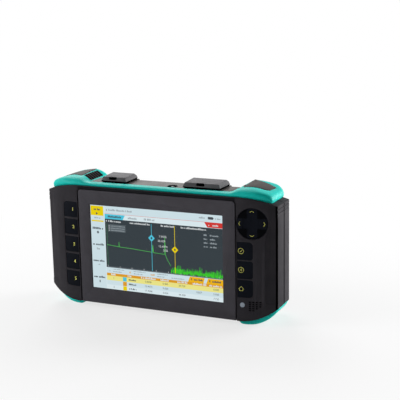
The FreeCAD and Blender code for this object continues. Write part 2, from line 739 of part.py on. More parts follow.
def dpad_gimbal():
    y0 = PIVOT_IN - GIMBAL_T / 2
    ring = square_post(GIMBAL_R, y0, y0 + GIMBAL_T).cut(square_post(GIMBAL_BORE, y0 - 1, y0 + GIMBAL_T + 1))
    ring = ring.cut(rod(PIN_R + RUN_FIT, (-GIMBAL_R - 1, PIVOT_IN, 0), (1, 0, 0), 2 * GIMBAL_R + 2))
    pins = [rod(PIN_R, (0, PIVOT_IN, s * (GIMBAL_R - PAD_GAP)), (0, 0, s), PAD_GAP + 2 * FIT + BRACKET_EAR_T)
            for s in (-1, 1)]
    return on_wing(fused([ring] + pins), PAD_X0, PAD_CENTRE_Z)


def dpad_bracket():
    """Plate across the two posts, with an ear each side of the gimbal."""
    reach = PAD_REACH + PAD_POST_R + 2 * FIT
    plate = box(-BRACKET_HALF, BRACKET_HALF, BRACKET_Y, BRACKET_Y + BRACKET_T, -reach, reach)
    ears = []
    for s in (-1, 1):
        near = GIMBAL_R + 2 * FIT
        low, high = sorted((s * near, s * (near + BRACKET_EAR_T)))
        ear = box(-PAD_STEM, PAD_STEM, PIVOT_IN - PAD_STEM, BRACKET_Y, low, high)
        ears.append(ear.cut(rod(PIN_R + RUN_FIT, (0, PIVOT_IN, -FAR / 2), (0, 0, 1), FAR)))
    return on_wing(fused([plate] + ears), PAD_X0, PAD_CENTRE_Z)


# ---- rear housing and what it carries ----------------------------------------------------------
COVER_Z = REAR_TOP - COVER_DOWN - COVER_H / 2
STAND_Z = COVER_Z - COVER_H / 2 - STAND_DOWN
STAND_L = STAND_Z - SHELL_Z0 - STAND_FOOT
STAND_Y = BODY_D - STAND_T / 2 - FIT
STAND_POCKET = STAND_T + FIT + STAND_GAP


def stand_pocket(grow, depth):
    """Pocket in the rear face that the folded stand lies in."""
    half = STAND_W / 2 + STAND_GAP + grow
    return box(-half, half, BODY_D - depth, BODY_D + 1,
               STAND_Z - STAND_L - STAND_GAP - grow, STAND_Z + STAND_T / 2 + 3 * STAND_GAP + grow)


def cover_area(in_x, in_z, low, high, corner=0.0):
    """Prism of the battery cover's outline, pulled in at the ends and along the long edges."""
    return rounded("xz", low, high, -COVER_W / 2 + in_x, COVER_W / 2 - in_x,
                   COVER_Z - COVER_H / 2 + in_z, COVER_Z + COVER_H / 2 - in_z, [corner] * 4)


BATTERY_Y1 = BODY_D - COVER_T - FIT
BATTERY_Y0 = BATTERY_Y1 - BATTERY_D
RIM_Y = BODY_D - COVER_T - WALL


def rear_housing():
    """Rear shell with the stand's pocket, the battery bay under its cover and the screw bosses."""
    shell = OUTER.cut(INNER).common(slab(PART_Y, FAR))
    pocket_back = stand_pocket(WALL, STAND_POCKET + WALL)
    bay_wall = cover_area(COVER_END - WALL, 0, BATTERY_Y0 - WALL, RIM_Y)
    bosses = [square_post(BOSS_HALF, PART_Y, BODY_D - 1, x, z) for x, z in screw_places()]
    rim = cover_area(-WALL, -WALL, RIM_Y, BODY_D - 1)
    shell = fused([shell, pocket_back.common(OUTER), bay_wall, rim] + bosses)
    cuts = [
        seam_cut(),
        stand_pocket(0, STAND_POCKET),
        cover_area(-FIT / 2, -FIT / 2, BODY_D - COVER_T, BODY_D + 1, COVER_CORNER),
        cover_area(COVER_END, COVER_LEDGE, BATTERY_Y0, BODY_D + 1),
        rod(STAND_PIN_R, (-STAND_W / 2 - STAND_GAP - WALL, STAND_Y, STAND_Z), (1, 0, 0),
            STAND_W + 2 * STAND_GAP + 2 * WALL),
        port_well(LEFT_CAP, TRAY_GAP),
        port_well(RIGHT_CAP, TRAY_GAP),
    ]
    cuts += side_grooves()
    for x, z in screw_places():
        cuts.append(rod(SCREW_R + FIT / 2, (x, PART_Y - 1, z), (0, 1, 0), FAR))
        cuts.append(rod(HEAD_R + FIT, (x, BODY_D - HEAD_H - HEAD_SINK, z), (0, 1, 0), FAR))
    for x, z in pad_places():
        cuts.append(rear_pad(x, z))
    for x in COVER_SCREWS:
        cuts.append(rod(COVER_SCREW_R, (x, COVER_HEAD_Y - COVER_SCREW_L - FIT, COVER_Z), (0, 1, 0), FAR))
    return shell.cut(Part.makeCompound(cuts))


def pad_places():
    heights = (REAR_TOP - REAR_PAD_DOWN, SHELL_Z0 + REAR_PAD_UP)
    return [(s * REAR_PAD_X, z) for s in (-1, 1) for z in heights]


def rear_pad(x, z):
    pad = box(x - REAR_PAD_W / 2, x + REAR_PAD_W / 2, BODY_D - REAR_PAD_SEAT, TOTAL_D,
              z - REAR_PAD_H / 2, z + REAR_PAD_H / 2)
    rim = [e for e in pad.Edges if e.BoundBox.YMin > TOTAL_D - 0.01]
    return pad.makeChamfer(0.5, rim)


def rear_pads():
    return Part.makeCompound([rear_pad(x, z) for x, z in pad_places()])


COVER_SCREWS = (-COVER_W / 2 + COVER_SCREW_IN, COVER_W / 2 - COVER_SCREW_IN)
COVER_HEAD_Y = BODY_D - COVER_HEAD_H - FIT


def battery_cover():
    """Cover plate with two sunk screws and a row of grip grooves at one end."""
    plate = cover_area(0, 0, BODY_D - COVER_T, BODY_D - FIT / 2, COVER_CORNER)
    cuts = [rod(COVER_HEAD_R + FIT / 2, (x, COVER_HEAD_Y, COVER_Z), (0, 1, 0), COVER_T) for x in COVER_SCREWS]
    cuts += [rod(COVER_SCREW_R + FIT / 2, (x, 0, COVER_Z), (0, 1, 0), FAR) for x in COVER_SCREWS]
    first = COVER_SCREWS[1] - COVER_SCREW_IN - 2 * GRIP_GROOVES * GRIP_GROOVE_W
    for n in range(GRIP_GROOVES):
        x = first + 2 * n * GRIP_GROOVE_W
        cuts.append(box(x, x + GRIP_GROOVE_W, BODY_D - COVER_T / 3, BODY_D + 1,
                        COVER_Z - COVER_H / 4, COVER_Z + COVER_H / 4))
    return plate.cut(Part.makeCompound(cuts))


def battery_pack():
    return cover_area(COVER_END + FIT, COVER_LEDGE + FIT, BATTERY_Y0, BATTERY_Y1)


def screw(x, z, head_y, length, radius, head_r, head_h):
    shank = rod(radius, (x, head_y - length, z), (0, 1, 0), length + head_h / 2)
    head = rod(head_r, (x, head_y, z), (0, 1, 0), head_h)
    return fused([shank, head])


def housing_screws():
    head_y = BODY_D - HEAD_H - HEAD_SINK
    length = head_y - PART_Y + SCREW_BITE
    return Part.makeCompound([screw(x, z, head_y, length, SCREW_R, HEAD_R, HEAD_H)
                              for x, z in screw_places()])


def cover_screws():
    sizes = (COVER_SCREW_L, COVER_SCREW_R, COVER_HEAD_R, COVER_HEAD_H)
    return Part.makeCompound([screw(x, COVER_Z, COVER_HEAD_Y, *sizes) for x in COVER_SCREWS])


def kickstand():
    half = STAND_W / 2
    low = STAND_Z - STAND_L
    y0 = STAND_Y - STAND_T / 2
    y1 = STAND_Y + STAND_T / 2
    plate = rounded("xz", y0, y1, -half, half, low, STAND_Z, (STAND_CORNER, STAND_CORNER, 0, 0))
    barrel = rod(STAND_T / 2, (-half, STAND_Y, STAND_Z), (1, 0, 0), STAND_W)
    recess = box(-half + STAND_BORDER, half - STAND_BORDER, y1 - STAND_RECESS, y1 + 1,
                 low + 1.5 * STAND_BORDER, STAND_Z - STAND_BORDER)
    notch = box(-STAND_BORDER, STAND_BORDER, y0 - 1, y1 + 1, low - 1, low + STAND_T)
    bore = rod(STAND_PIN_R + RUN_FIT, (-half - 1, STAND_Y, STAND_Z), (1, 0, 0), STAND_W + 2)
    return fused([plate, barrel]).cut(Part.makeCompound([recess, notch])).cut(bore)


def kickstand_pin():
    reach = STAND_W / 2 + STAND_GAP + WALL - FIT
    return rod(STAND_PIN_R, (-reach, STAND_Y, STAND_Z), (1, 0, 0), 2 * reach)


# ---- bumpers -----------------------------------------------------------------------------------
STRIP_Z = SHELL_Z1 + STRIP_H
RIDGE_X = HALF_W - RIDGE_IN
RIDGE_Z = SHELL_Z1 + RIDGE_H
RAMP_X = RIDGE_X - RAMP_W
BUMP_X = HALF_W - BUMP_END_IN
BROW_X = BUMP_X - BROW_IN


def bump_profile():
    """Front view of the top bumper: the strip in the middle and a ridged bump over each wing."""
    low = SHELL_Z1 - BUMPER_SKIRT
    brow_z = SHELL_Z1 + BROW_UP
    cheek_z = SHELL_Z1 - CHEEK_DOWN
    crown = ((RIDGE_X + BROW_X) / 2, (RIDGE_Z + brow_z) / 2 + CROWN_RISE)
    round_off = (BROW_X + 0.74 * BROW_IN, brow_z + 0.38 * (cheek_z - brow_z))
    right = [(RAMP_X, STRIP_Z), (RIDGE_X, RIDGE_Z), (BROW_X, brow_z, *crown),
             (BUMP_X, cheek_z, *round_off), (BUMP_X, low)]
    left = [(-BUMP_X, low), (-BUMP_X, cheek_z), (-BROW_X, brow_z, -round_off[0], round_off[1]),
            (-RIDGE_X, RIDGE_Z, -crown[0], crown[1]), (-RAMP_X, STRIP_Z)]
    return prism("xz", -1, FAR, right + left)


def bump_side():
    """Side view of the top bumper: rounded nose, level ridge, wrapped over the sloping rear."""
    low = SHELL_Z1 - BUMPER_SKIRT - 1
    nose_z = SHELL_Z1 + NOSE_UP
    nose_rise = RIDGE_Z - NOSE_DROP - nose_z
    rear = BODY_D - BUMPER_REAR
    return prism("yz", -FAR, FAR, [
        (STRIP_IN, low),
        (STRIP_IN, nose_z),
        (STRIP_IN + NOSE_L, RIDGE_Z - NOSE_DROP, STRIP_IN + 0.32 * NOSE_L, nose_z + 0.65 * nose_rise),
        (RIDGE_END, RIDGE_Z),
        (RIDGE_END + TAIL_L, RIDGE_Z - TAIL_L, RIDGE_END + 0.7 * TAIL_L, RIDGE_Z - 0.3 * TAIL_L),
        (rear, RIDGE_Z - TAIL_L - (rear - RIDGE_END - TAIL_L) * math.tan(math.radians(TAIL_FALL))),
        (rear, low),
    ])


def bumper_block():
    shape = bump_profile().common(bump_side())
    shape = shape.common(plan(STRIP_IN, BUMP_END_IN, -FAR, FAR, BODY_D - BUMPER_REAR))
    behind = box(-RAMP_X, RAMP_X, STRIP_BACK, FAR, -FAR, FAR)
    return shape.cut(behind)


def insert_area():
    """Plan of the dark pad let into the outer slope of the right bump."""
    y1 = INSERT_Y0 + INSERT_L
    slant = (INSERT_L - INSERT_NECK) / 2
    return prism("xy", -FAR, FAR, [
        (RIDGE_X + INSERT_IN, INSERT_Y0),
        (BROW_X - 2 * INSERT_IN, INSERT_Y0 + slant),
        (BROW_X - INSERT_IN, y1 - slant),
        (RIDGE_X + INSERT_IN, y1),
    ])


def comb_area(sink, depth, y0, y1):
    """Block let into the inner ramp of the right bump, between two depths below the ramp."""
    ramp = math.hypot(RAMP_W, RIDGE_Z - STRIP_Z)
    along = (-RAMP_W / ramp, (STRIP_Z - RIDGE_Z) / ramp)
    down = (-along[1], along[0])

    def place(s, d):
        return (RIDGE_X + along[0] * s + down[0] * d, RIDGE_Z + along[1] * s + down[1] * d)

    low = ramp - COMB_FOOT
    return prism("xz", y0, y1, [place(COMB_EDGE, sink), place(low, sink),
                                place(low, depth), place(COMB_EDGE, depth)])


def vent_comb():
    block = comb_area(COMB_SINK, COMB_DEPTH, COMB_Y0, COMB_Y0 + COMB_L)
    pitch = COMB_L / COMB_SLOTS
    slots = []
    for n in range(COMB_SLOTS):
        y0 = COMB_Y0 + pitch * (n + 0.5) - COMB_SLOT_W / 2
        slots.append(comb_area(-1, COMB_DEPTH - COMB_SINK, y0, y0 + COMB_SLOT_W))
    return block.cut(Part.makeCompound(slots))


def bump_insert(block):
    lowered = block.copy()
    lowered.translate(vec(0, 0, -INSERT_T))
    return block.cut(lowered).common(insert_area())


BLOCK = bumper_block()
INSERT = bump_insert(BLOCK)


def top_bumper():
    shape = BLOCK.cut(OUTER)
    comb = comb_area(-1, COMB_DEPTH, COMB_Y0, COMB_Y0 + COMB_L)
    return shape.cut(Part.makeCompound([comb, mirror(comb), INSERT, mirror(INSERT)]))


def bottom_bumper():
    """Right corner foot: a ramp, a flat that stands on the table, and an arc up to the side wall."""
    x0 = SEAM_X - FOOT_IN
    x1 = x0 + FOOT_RAMP
    x2 = x1 + FOOT_FLAT
    top = SHELL_Z0 + HIP_RISE
    run = HALF_W - x2
    radius = arc_radius(run, top)
    end = (HALF_W, top)
    block = prism("xz", -1, FAR, [
        (x0, SHELL_Z0),
        (x1, 0),
        (x2, 0),
        on_circle((x2, radius), radius, (x2, 0), end),
        (HALF_W, top + 1),
        (x0, top + 1),
    ])
    block = block.common(plan(0, 0, -FAR, FAR).common(slab(0, BODY_D - HEEL)))
    front = plan(FOOT_SET, 0, -FAR, FAR)
    return block.common(front).cut(OUTER)


# ---- deck, caps and ports ----------------------------------------------------------------------
DECK_Z = SHELL_Z1 + DECK_T
PIN_Z = SHELL_Z1 + PIVOT_H
CAPS = {"left": LEFT_CAP, "right": RIGHT_CAP}


def port_well(cap, grow):
    x0, x1 = cap
    return box(x0 + TRAY_IN - grow, x1 - TRAY_IN + grow, TRAY_Y[0] - grow, TRAY_Y[1] + grow,
               DECK_Z - TRAY_DEPTH - grow, DECK_Z + 1)


def port_deck():
    """Plate between the bumps, with the port wells, the caps' hinge ears and the power key's hole."""
    half = RAMP_X - DECK_FIT
    low = SHELL_Z1 - DECK_LAP - DECK_T
    lap_y = BEVEL_Y + 1 + DECK_LAP
    block = prism("yz", -half, half, [
        (STRIP_BACK + DECK_FIT, low),
        (STRIP_BACK + DECK_FIT, DECK_Z),
        (BEVEL_Y + 1, DECK_Z),
        (lap_y, DECK_Z - DECK_LAP),
        (lap_y, low),
    ]).cut(OUTER)
    adds = []
    cuts = []
    for x0, x1 in CAPS.values():
        cuts.append(port_well((x0, x1), 0))
        for ear0 in (x0, x1 - EAR_W):
            ear = prism("yz", ear0, ear0 + EAR_W, [
                (PIVOT_Y - BARREL_R, SHELL_Z1 - BARREL_R), (PIVOT_Y - BARREL_R, PIN_Z),
                (PIVOT_Y + BARREL_R, PIN_Z, PIVOT_Y, PIN_Z + BARREL_R),
                (PIVOT_Y + BARREL_R, SHELL_Z1 - 3 * BARREL_R)])
            adds.append(ear.cut(OUTER))
        cuts.append(rod(BARREL_R + FIT, (x0 + EAR_W, PIVOT_Y, PIN_Z), (1, 0, 0), x1 - x0 - 2 * EAR_W))
        cuts.append(rod(CAP_PIN_R, (x0, PIVOT_Y, PIN_Z), (1, 0, 0), x1 - x0))
    cuts.append(rod(POWER_R + POWER_RING, (POWER_X, POWER_Y, SHELL_Z1 - 1), (0, 0, 1), 3 * DECK_T))
    return fused([block] + adds).cut(Part.makeCompound(cuts))


def port_cap(cap):
    """Hinged dust cap on a recessed rim: leaning sides, finger notch in the front, barrel at the back."""
    x0, x1 = cap
    base = DECK_Z + CAP_SEAT
    rim = base + CAP_SKIRT_H
    nose = base + CAP_NOSE
    top = DECK_Z + CAP_H
    back = PIVOT_Y - BARREL_R - CAP_PLAY
    brow = top - CAP_RISE
    along = prism("yz", x0, x1, [(CAP_FRONT, rim), (CAP_FRONT, nose), (CAP_FRONT + CAP_LEAN, brow),
                                 (back - 1.5 * CAP_REAR_DROP, top), (back, top - CAP_REAR_DROP), (back, rim)])
    across = prism("xz", CAP_FRONT - 1, back + 1, [(x0, rim), (x0, nose), (x0 + CAP_LEAN, top),
                                                   (x1 - CAP_LEAN, top), (x1, nose), (x1, rim)])
    outer = along.common(across)
    skirt = box(x0 + CAP_SKIRT_IN, x1 - CAP_SKIRT_IN, CAP_FRONT + CAP_SKIRT_IN, back, base, rim + CAP_SKIRT_H)
    hollow = box(x0 + CAP_WALL, x1 - CAP_WALL, CAP_FRONT + CAP_WALL + CAP_SKIRT_IN, back - CAP_WALL,
                 base - 1, rim + CAP_WALL)
    mid = (x0 + x1) / 2 - NOTCH_OFF
    notch = box(mid - NOTCH_W / 2, mid + NOTCH_W / 2, CAP_FRONT - 1, CAP_FRONT + NOTCH_DEPTH,
                brow - NOTCH_H, top + 1)
    shape = outer.fuse(skirt).cut(Part.makeCompound([hollow, notch]))
    b0 = x0 + EAR_W + FIT
    b1 = x1 - EAR_W - FIT
    barrel = rod(BARREL_R, (b0, PIVOT_Y, PIN_Z), (1, 0, 0), b1 - b0)
    arm = prism("yz", b0, b1, [(back - 1, rim), (back - 1, top - CAP_REAR_DROP), (back, top - CAP_REAR_DROP),
                               (PIVOT_Y + BARREL_R, PIN_Z), (PIVOT_Y, PIN_Z), (back, base + FIT)])
    bore = rod(CAP_PIN_R + RUN_FIT, (x0, PIVOT_Y, PIN_Z), (1, 0, 0), x1 - x0)
    return fused([shape, barrel, arm]).cut(bore)


def cap_pin(cap):
    x0, x1 = cap
    return rod(CAP_PIN_R, (x0 + FIT, PIVOT_Y, PIN_Z), (1, 0, 0), x1 - x0 - 2 * FIT)


def port_tray(cap, holes):
    """Open box let into the deck, with its floor cut out for the ports."""
    tray = port_well(cap, 0).common(box(-FAR, FAR, -FAR, FAR, -FAR, DECK_Z - TRAY_SINK))
    x0, x1 = cap
    inside = box(x0 + TRAY_IN + TRAY_WALL, x1 - TRAY_IN - TRAY_WALL,
                 TRAY_Y[0] + TRAY_WALL, TRAY_Y[1] - TRAY_WALL,
                 TRAY_FLOOR, DECK_Z + 1)
    return tray.cut(inside).cut(Part.makeCompound(holes))


TRAY_MID_Y = (TRAY_Y[0] + TRAY_Y[1]) / 2
ADAPTER_X = {name: (RIGHT_CAP[0] + RIGHT_CAP[1]) / 2 + s * ADAPTER_PITCH / 2
             for name, s in (("otdr_adapter", -1), ("light_source_adapter", 1))}


def upright(half_x, half_y, x, y, z0, z1):
    """Block that stands at x, y between two heights."""
    return box(x - half_x, x + half_x, y - half_y, y + half_y, z0, z1)


def adapter(x):
    """Bulkhead fibre adapter: square flange on the tray floor, sleeve up, stub below."""
    z0 = TRAY_FLOOR
    flange = upright(ADAPTER_FLANGE, ADAPTER_FLANGE, x, TRAY_MID_Y, z0, z0 + TRAY_WALL)
    sleeve = rod(ADAPTER_R, (x, TRAY_MID_Y, z0), (0, 0, 1), ADAPTER_H)
    stub = upright(STUB_HALF, STUB_HALF, x, TRAY_MID_Y, z0 - TRAY_WALL - ADAPTER_TAIL, z0 + 1)
    bore = rod(FERRULE_R, (x, TRAY_MID_Y, z0 + ADAPTER_H - FERRULE_BORE), (0, 0, 1), FERRULE_BORE + 1)
    return fused([flange, sleeve, stub]).cut(bore)


def optical_tray():
    holes = [upright(STUB_HALF, STUB_HALF, x, TRAY_MID_Y, 0, FAR) for x in ADAPTER_X.values()]
    return port_tray(RIGHT_CAP, holes)


SOCKET_X = (LEFT_CAP[0] + LEFT_CAP[1]) / 2
SOCKETS = (
    (USB_W, USB_H, USB_L, TRAY_MID_Y - SOCKET_OFF, USB_TONGUE),
    (SERVICE_W, SERVICE_H, SERVICE_L, TRAY_MID_Y + SOCKET_OFF, SERVICE_TONGUE),
)


def socket(wide, deep, length, y, tongue):
    """Metal-shelled socket that opens upwards, with its contact tongue inside."""
    z1 = TRAY_FLOOR + SOCKET_LIP
    z0 = z1 - length
    half_x = wide / 2
    half_y = deep / 2
    shell = upright(half_x, half_y, SOCKET_X, y, z0, z1)
    hollow = upright(half_x - SOCKET_WALL, half_y - SOCKET_WALL, SOCKET_X, y, z0 + 1, z1 + 1)
    blade = upright(half_x - 2.5 * SOCKET_WALL, tongue / 2, SOCKET_X, y, z0, z1 - 1)
    return shell.cut(hollow).fuse(blade).removeSplitter()


def data_tray():
    holes = [upright(wide / 2, deep / 2, SOCKET_X, y, 0, FAR) for wide, deep, _, y, _ in SOCKETS]
    return port_tray(LEFT_CAP, holes)


def data_sockets():
    return Part.makeCompound([socket(*sizes) for sizes in SOCKETS])


def port_board():
    """Board under the data sockets: a riser under the short one and a plug-in edge to the main board."""
    x0 = LEFT_CAP[0] + EAR_W
    x1 = LEFT_CAP[1] - EAR_W
    z0 = PORT_BOARD_Z - BOARD_T
    board = box(x0, x1, TRAY_Y[0] - EAR_W, TRAY_Y[1], z0, PORT_BOARD_Z)
    wide, deep, length, y, _ = SOCKETS[1]
    riser = upright(wide / 2, deep / 2, SOCKET_X, y, z0, PORT_BOARD_Z + USB_L - length)
    y0 = MAIN_BOARD_Y + BOARD_T
    link = box(x0, x1, y0, y0 + LINK_T, z0 - LINK_H, PORT_BOARD_Z)
    return fused([board, riser, link])


def power_ring():
    """Collar let into the deck round the power key."""
    outer = POWER_R + POWER_RING
    return tube(outer, POWER_R + KEY_GAP, (POWER_X, POWER_Y, SHELL_Z1), (0, 0, 1), DECK_T + KEY_GAP)


PLUNGER_Z = SHELL_Z1 - WALL - PLUNGER_HALF


def power_key():
    """Round key that stands level with the deck, over a plunger through the shell's top wall."""
    z0 = SHELL_Z1 + KEY_GAP + POWER_TRAVEL
    stem = rod(POWER_R, (POWER_X, POWER_Y, z0), (0, 0, 1), DECK_Z - z0)
    plunger = upright(PLUNGER_HALF, PLUNGER_HALF, POWER_X, POWER_Y, PLUNGER_Z, z0 + KEY_GAP)
    return fused([stem, plunger])


def power_switch():
    """Switch under the plunger, hung from the shell's top wall by a bracket at one side."""
    z1 = PLUNGER_Z - POWER_TRAVEL - STEM_SLACK
    z0 = z1 - SWITCH_HALF
    x1 = POWER_X + SWITCH_HALF
    block = upright(SWITCH_HALF, SWITCH_HALF, POWER_X, POWER_Y, z0, z1)
    bracket = box(x1, x1 + 1, POWER_Y - SWITCH_HALF, POWER_Y + SWITCH_HALF, z0, SHELL_Z1 - WALL)
    return fused([block, bracket])


# ---- boards and optics -------------------------------------------------------------------------
def main_board():
    """Board with four chips on its left half, clear of the optical module."""
    y1 = MAIN_BOARD_Y + BOARD_T
    pieces = [box(-BOARD_X, BOARD_X, MAIN_BOARD_Y, y1, BOARD_Z0, BOARD_Z1)]
    for n, size in enumerate(CHIPS):
        x = -BOARD_X + (n + 1) * CHIP_PITCH
        pieces.append(box(x - size / 2, x + size / 2, MAIN_BOARD_Y, y1 + CHIP_T,
                          SCREEN_Z - size / 2, SCREEN_Z + size / 2))
    return fused(pieces)


OPTICS_X = BOARD_X - OPTICS_IN - OPTICS_W / 2
OPTICS_Z1 = BOARD_Z1 - OPTICS_DOWN
OPTICS_Y0 = MAIN_BOARD_Y + BOARD_T
OPTICS_Y1 = BATTERY_Y0 - WALL - OPTICS_GAP


def optical_module():
    """Closed case on the main board, with cooling fins and a square boss under each adapter."""
    x0 = OPTICS_X - OPTICS_W / 2
    x1 = OPTICS_X + OPTICS_W / 2
    z0 = OPTICS_Z1 - OPTICS_H
    case = box(x0, x1, OPTICS_Y0, OPTICS_Y1, z0, OPTICS_Z1)
    pitch = OPTICS_H / (FINS + 1)
    slots = [box(x0 - 1, x1 + 1, OPTICS_Y1 - pitch / 3, OPTICS_Y1 + 1, z, z + pitch / 3)
             for z in [z0 + (n + 1) * pitch - pitch / 6 for n in range(FINS)]]
    bosses = [upright(FIBRE_BOSS, FIBRE_BOSS, x, TRAY_MID_Y, OPTICS_Z1 - 1, OPTICS_Z1 + 2 * FIBRE_BOSS)
              for x in ADAPTER_X.values()]
    return fused([case.cut(Part.makeCompound(slots))] + bosses)


def fibre_leads():
    """Buffered fibre from each output of the optical module straight up to its adapter."""
    z0 = OPTICS_Z1 + 2 * FIBRE_BOSS
    z1 = TRAY_FLOOR - TRAY_WALL - ADAPTER_TAIL
    return Part.makeCompound([rod(FIBRE_R, (x, TRAY_MID_Y, z0), (0, 0, 1), z1 - z0)
                              for x in ADAPTER_X.values()])


# ---- assembly ----------------------------------------------------------------------------------
def with_port_holes(shape):
    """The shells' top wall opened for the port trays and the power key's plunger."""
    cuts = [port_well(cap, TRAY_GAP) for cap in CAPS.values()]
    hole = PLUNGER_HALF + KEY_GAP
    cuts.append(upright(hole, hole, POWER_X, POWER_Y, SHELL_Z1 - WALL - 1, SHELL_Z1 + 1))
    return shape.cut(Part.makeCompound(cuts))


def build():
    nodes = {
        "front_housing": with_port_holes(front_housing()),
        "display_bezel": display_bezel(),
        "display_glass": display_glass(),
        "lcd_module": lcd_module(),
        "lcd_frame": lcd_frame(),
        "left_key_board": key_board(-1, LEFT_SPECS, *LEFT_BOARD),
        "right_key_board": key_board(1, RIGHT_SPECS, *RIGHT_BOARD),
        "dpad": dpad(),
        "dpad_gimbal": dpad_gimbal(),
        "dpad_bracket": dpad_bracket(),
        "speaker": speaker(),
        "light_sensor_lens": light_lens(),
        "housing_gasket": gasket(),
        "rear_housing": rear_housing(),
        "rear_pads": rear_pads(),
        "housing_screws": housing_screws(),
        "battery_cover": battery_cover(),
        "cover_screws": cover_screws(),
        "battery_pack": battery_pack(),
        "kickstand": kickstand(),
        "kickstand_pin": kickstand_pin(),
        "top_bumper": top_bumper(),
        "bump_insert_right": INSERT,
        "bump_insert_left": mirror(INSERT),
        "vent_comb_right": vent_comb(),
        "vent_comb_left": mirror(vent_comb()),
        "bottom_bumper_right": bottom_bumper(),
        "bottom_bumper_left": mirror(bottom_bumper()),
        "port_deck": port_deck(),
        "left_port_cap": port_cap(LEFT_CAP),
        "right_port_cap": port_cap(RIGHT_CAP),
        "left_cap_pin": cap_pin(LEFT_CAP),
        "right_cap_pin": cap_pin(RIGHT_CAP),
        "optical_tray": optical_tray(),
        "data_tray": data_tray(),
        "data_sockets": data_sockets(),
        "port_board": port_board(),
        "power_ring": power_ring(),
        "power_key": power_key(),
        "power_switch": power_switch(),
        "main_board": main_board(),
        "optical_module": optical_module(),
        "fibre_leads": fibre_leads(),
    }
    nodes.update({name: key(spec) for name, spec in KEYS.items()})
    nodes.update({name: adapter(x) for name, x in ADAPTER_X.items()})
    return nodes


def export(nodes):
    os.makedirs("parts", exist_ok=True)
    for name, shape in nodes.items():
        shape = shape.copy()
        shape.translate(vec(0, -TOTAL_D / 2, 0))
        shape.exportStep(f"parts/{name}.step")


export(build())
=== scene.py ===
import json
import math
import random

import bmesh
import bpy
import numpy
from mathutils import Matrix, Vector
from mathutils.bvhtree import BVHTree


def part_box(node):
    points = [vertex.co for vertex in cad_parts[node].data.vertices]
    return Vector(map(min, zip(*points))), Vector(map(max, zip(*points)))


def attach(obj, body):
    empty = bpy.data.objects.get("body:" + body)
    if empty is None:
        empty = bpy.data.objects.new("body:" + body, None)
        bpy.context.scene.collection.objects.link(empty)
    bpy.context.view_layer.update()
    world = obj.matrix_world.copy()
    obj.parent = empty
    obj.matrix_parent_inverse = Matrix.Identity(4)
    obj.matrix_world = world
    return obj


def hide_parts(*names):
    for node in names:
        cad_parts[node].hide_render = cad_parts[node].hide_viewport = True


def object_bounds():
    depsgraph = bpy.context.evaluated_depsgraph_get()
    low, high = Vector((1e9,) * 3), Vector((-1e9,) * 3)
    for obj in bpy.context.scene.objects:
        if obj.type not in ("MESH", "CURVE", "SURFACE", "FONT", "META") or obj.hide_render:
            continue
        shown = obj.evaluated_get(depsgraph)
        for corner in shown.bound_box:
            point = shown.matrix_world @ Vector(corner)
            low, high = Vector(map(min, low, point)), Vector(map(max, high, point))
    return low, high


# Looks of a hand-held optical time domain reflectometer. Everything is in metres, in the frame of
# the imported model: +X right for somebody facing the screen, -Y out of the screen, +Z up.

MM = 0.001
ACROSS = Vector((1, 0, 0))
BACK = Vector((0, 1, 0))
UP = Vector((0, 0, 1))

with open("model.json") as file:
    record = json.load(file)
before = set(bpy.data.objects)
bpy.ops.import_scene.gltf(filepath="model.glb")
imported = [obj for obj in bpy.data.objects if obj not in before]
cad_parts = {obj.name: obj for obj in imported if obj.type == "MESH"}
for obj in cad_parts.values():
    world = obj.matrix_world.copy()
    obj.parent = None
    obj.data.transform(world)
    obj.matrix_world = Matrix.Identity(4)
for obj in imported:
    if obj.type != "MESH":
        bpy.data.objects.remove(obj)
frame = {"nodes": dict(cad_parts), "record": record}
cad_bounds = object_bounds()
ROOT = "chassis"


# ---- materials ---------------------------------------------------------------------------------
BLOTCHES = 55                  # blotches of colour along a metre of a moulded surface
GLOSS_PATCHES = 130            # patches of more or less gloss along a metre
NOISE_RANGE = (0.3, 0.7)       # where nearly all of a noise's values lie


def linear(hex_colour):
    """Scene-linear RGBA of a colour written as it looks on a screen."""
    values = [int(hex_colour[i:i + 2], 16) / 255 for i in (0, 2, 4)]
    lin = [v / 12.92 if v <= 0.04045 else ((v + 0.055) / 1.055) ** 2.4 for v in values]
    return (*lin, 1.0)


def dimmed(colour, share):
    """A scene-linear colour at a share of its strength."""
    return (*(share * v for v in colour[:3]), 1.0)


def new_material(name):
    """A new material, its nodes, links and shader, and the coordinates of the object it is on."""
    material = bpy.data.materials.new(name)
    material.use_nodes = True
    nodes = material.node_tree.nodes
    place = nodes.new("ShaderNodeTexCoord").outputs["Object"]
    return material, nodes, material.node_tree.links, nodes["Principled BSDF"], place


def noise(nodes, links, place, scale, detail=3.0):
    """Soft noise about 0.5, with a number of spots to the metre."""
    texture = nodes.new("ShaderNodeTexNoise")
    texture.inputs["Scale"].default_value = scale
    texture.inputs["Detail"].default_value = detail
    links.new(place, texture.inputs["Vector"])
    return texture.outputs["Fac"]


def spread(nodes, links, value, low, high, low_to, high_to):
    """Map a value's range onto another one."""
    node = nodes.new("ShaderNodeMapRange")
    for socket, number in (("From Min", low), ("From Max", high), ("To Min", low_to), ("To Max", high_to)):
        node.inputs[socket].default_value = number
    links.new(value, node.inputs["Value"])
    return node.outputs["Result"]


def blend_colours(nodes, links, factor, a, b):
    """Colour between two others."""
    node = nodes.new("ShaderNodeMix")
    node.data_type = "RGBA"
    links.new(factor, node.inputs["Factor"])
    node.inputs["A"].default_value = a
    node.inputs["B"].default_value = b
    return node.outputs["Result"]


def mottled(nodes, links, place, scale, dark, light):
    """Colour that wanders between two others over the surface."""
    return blend_colours(nodes, links, noise(nodes, links, place, scale), dark, light)


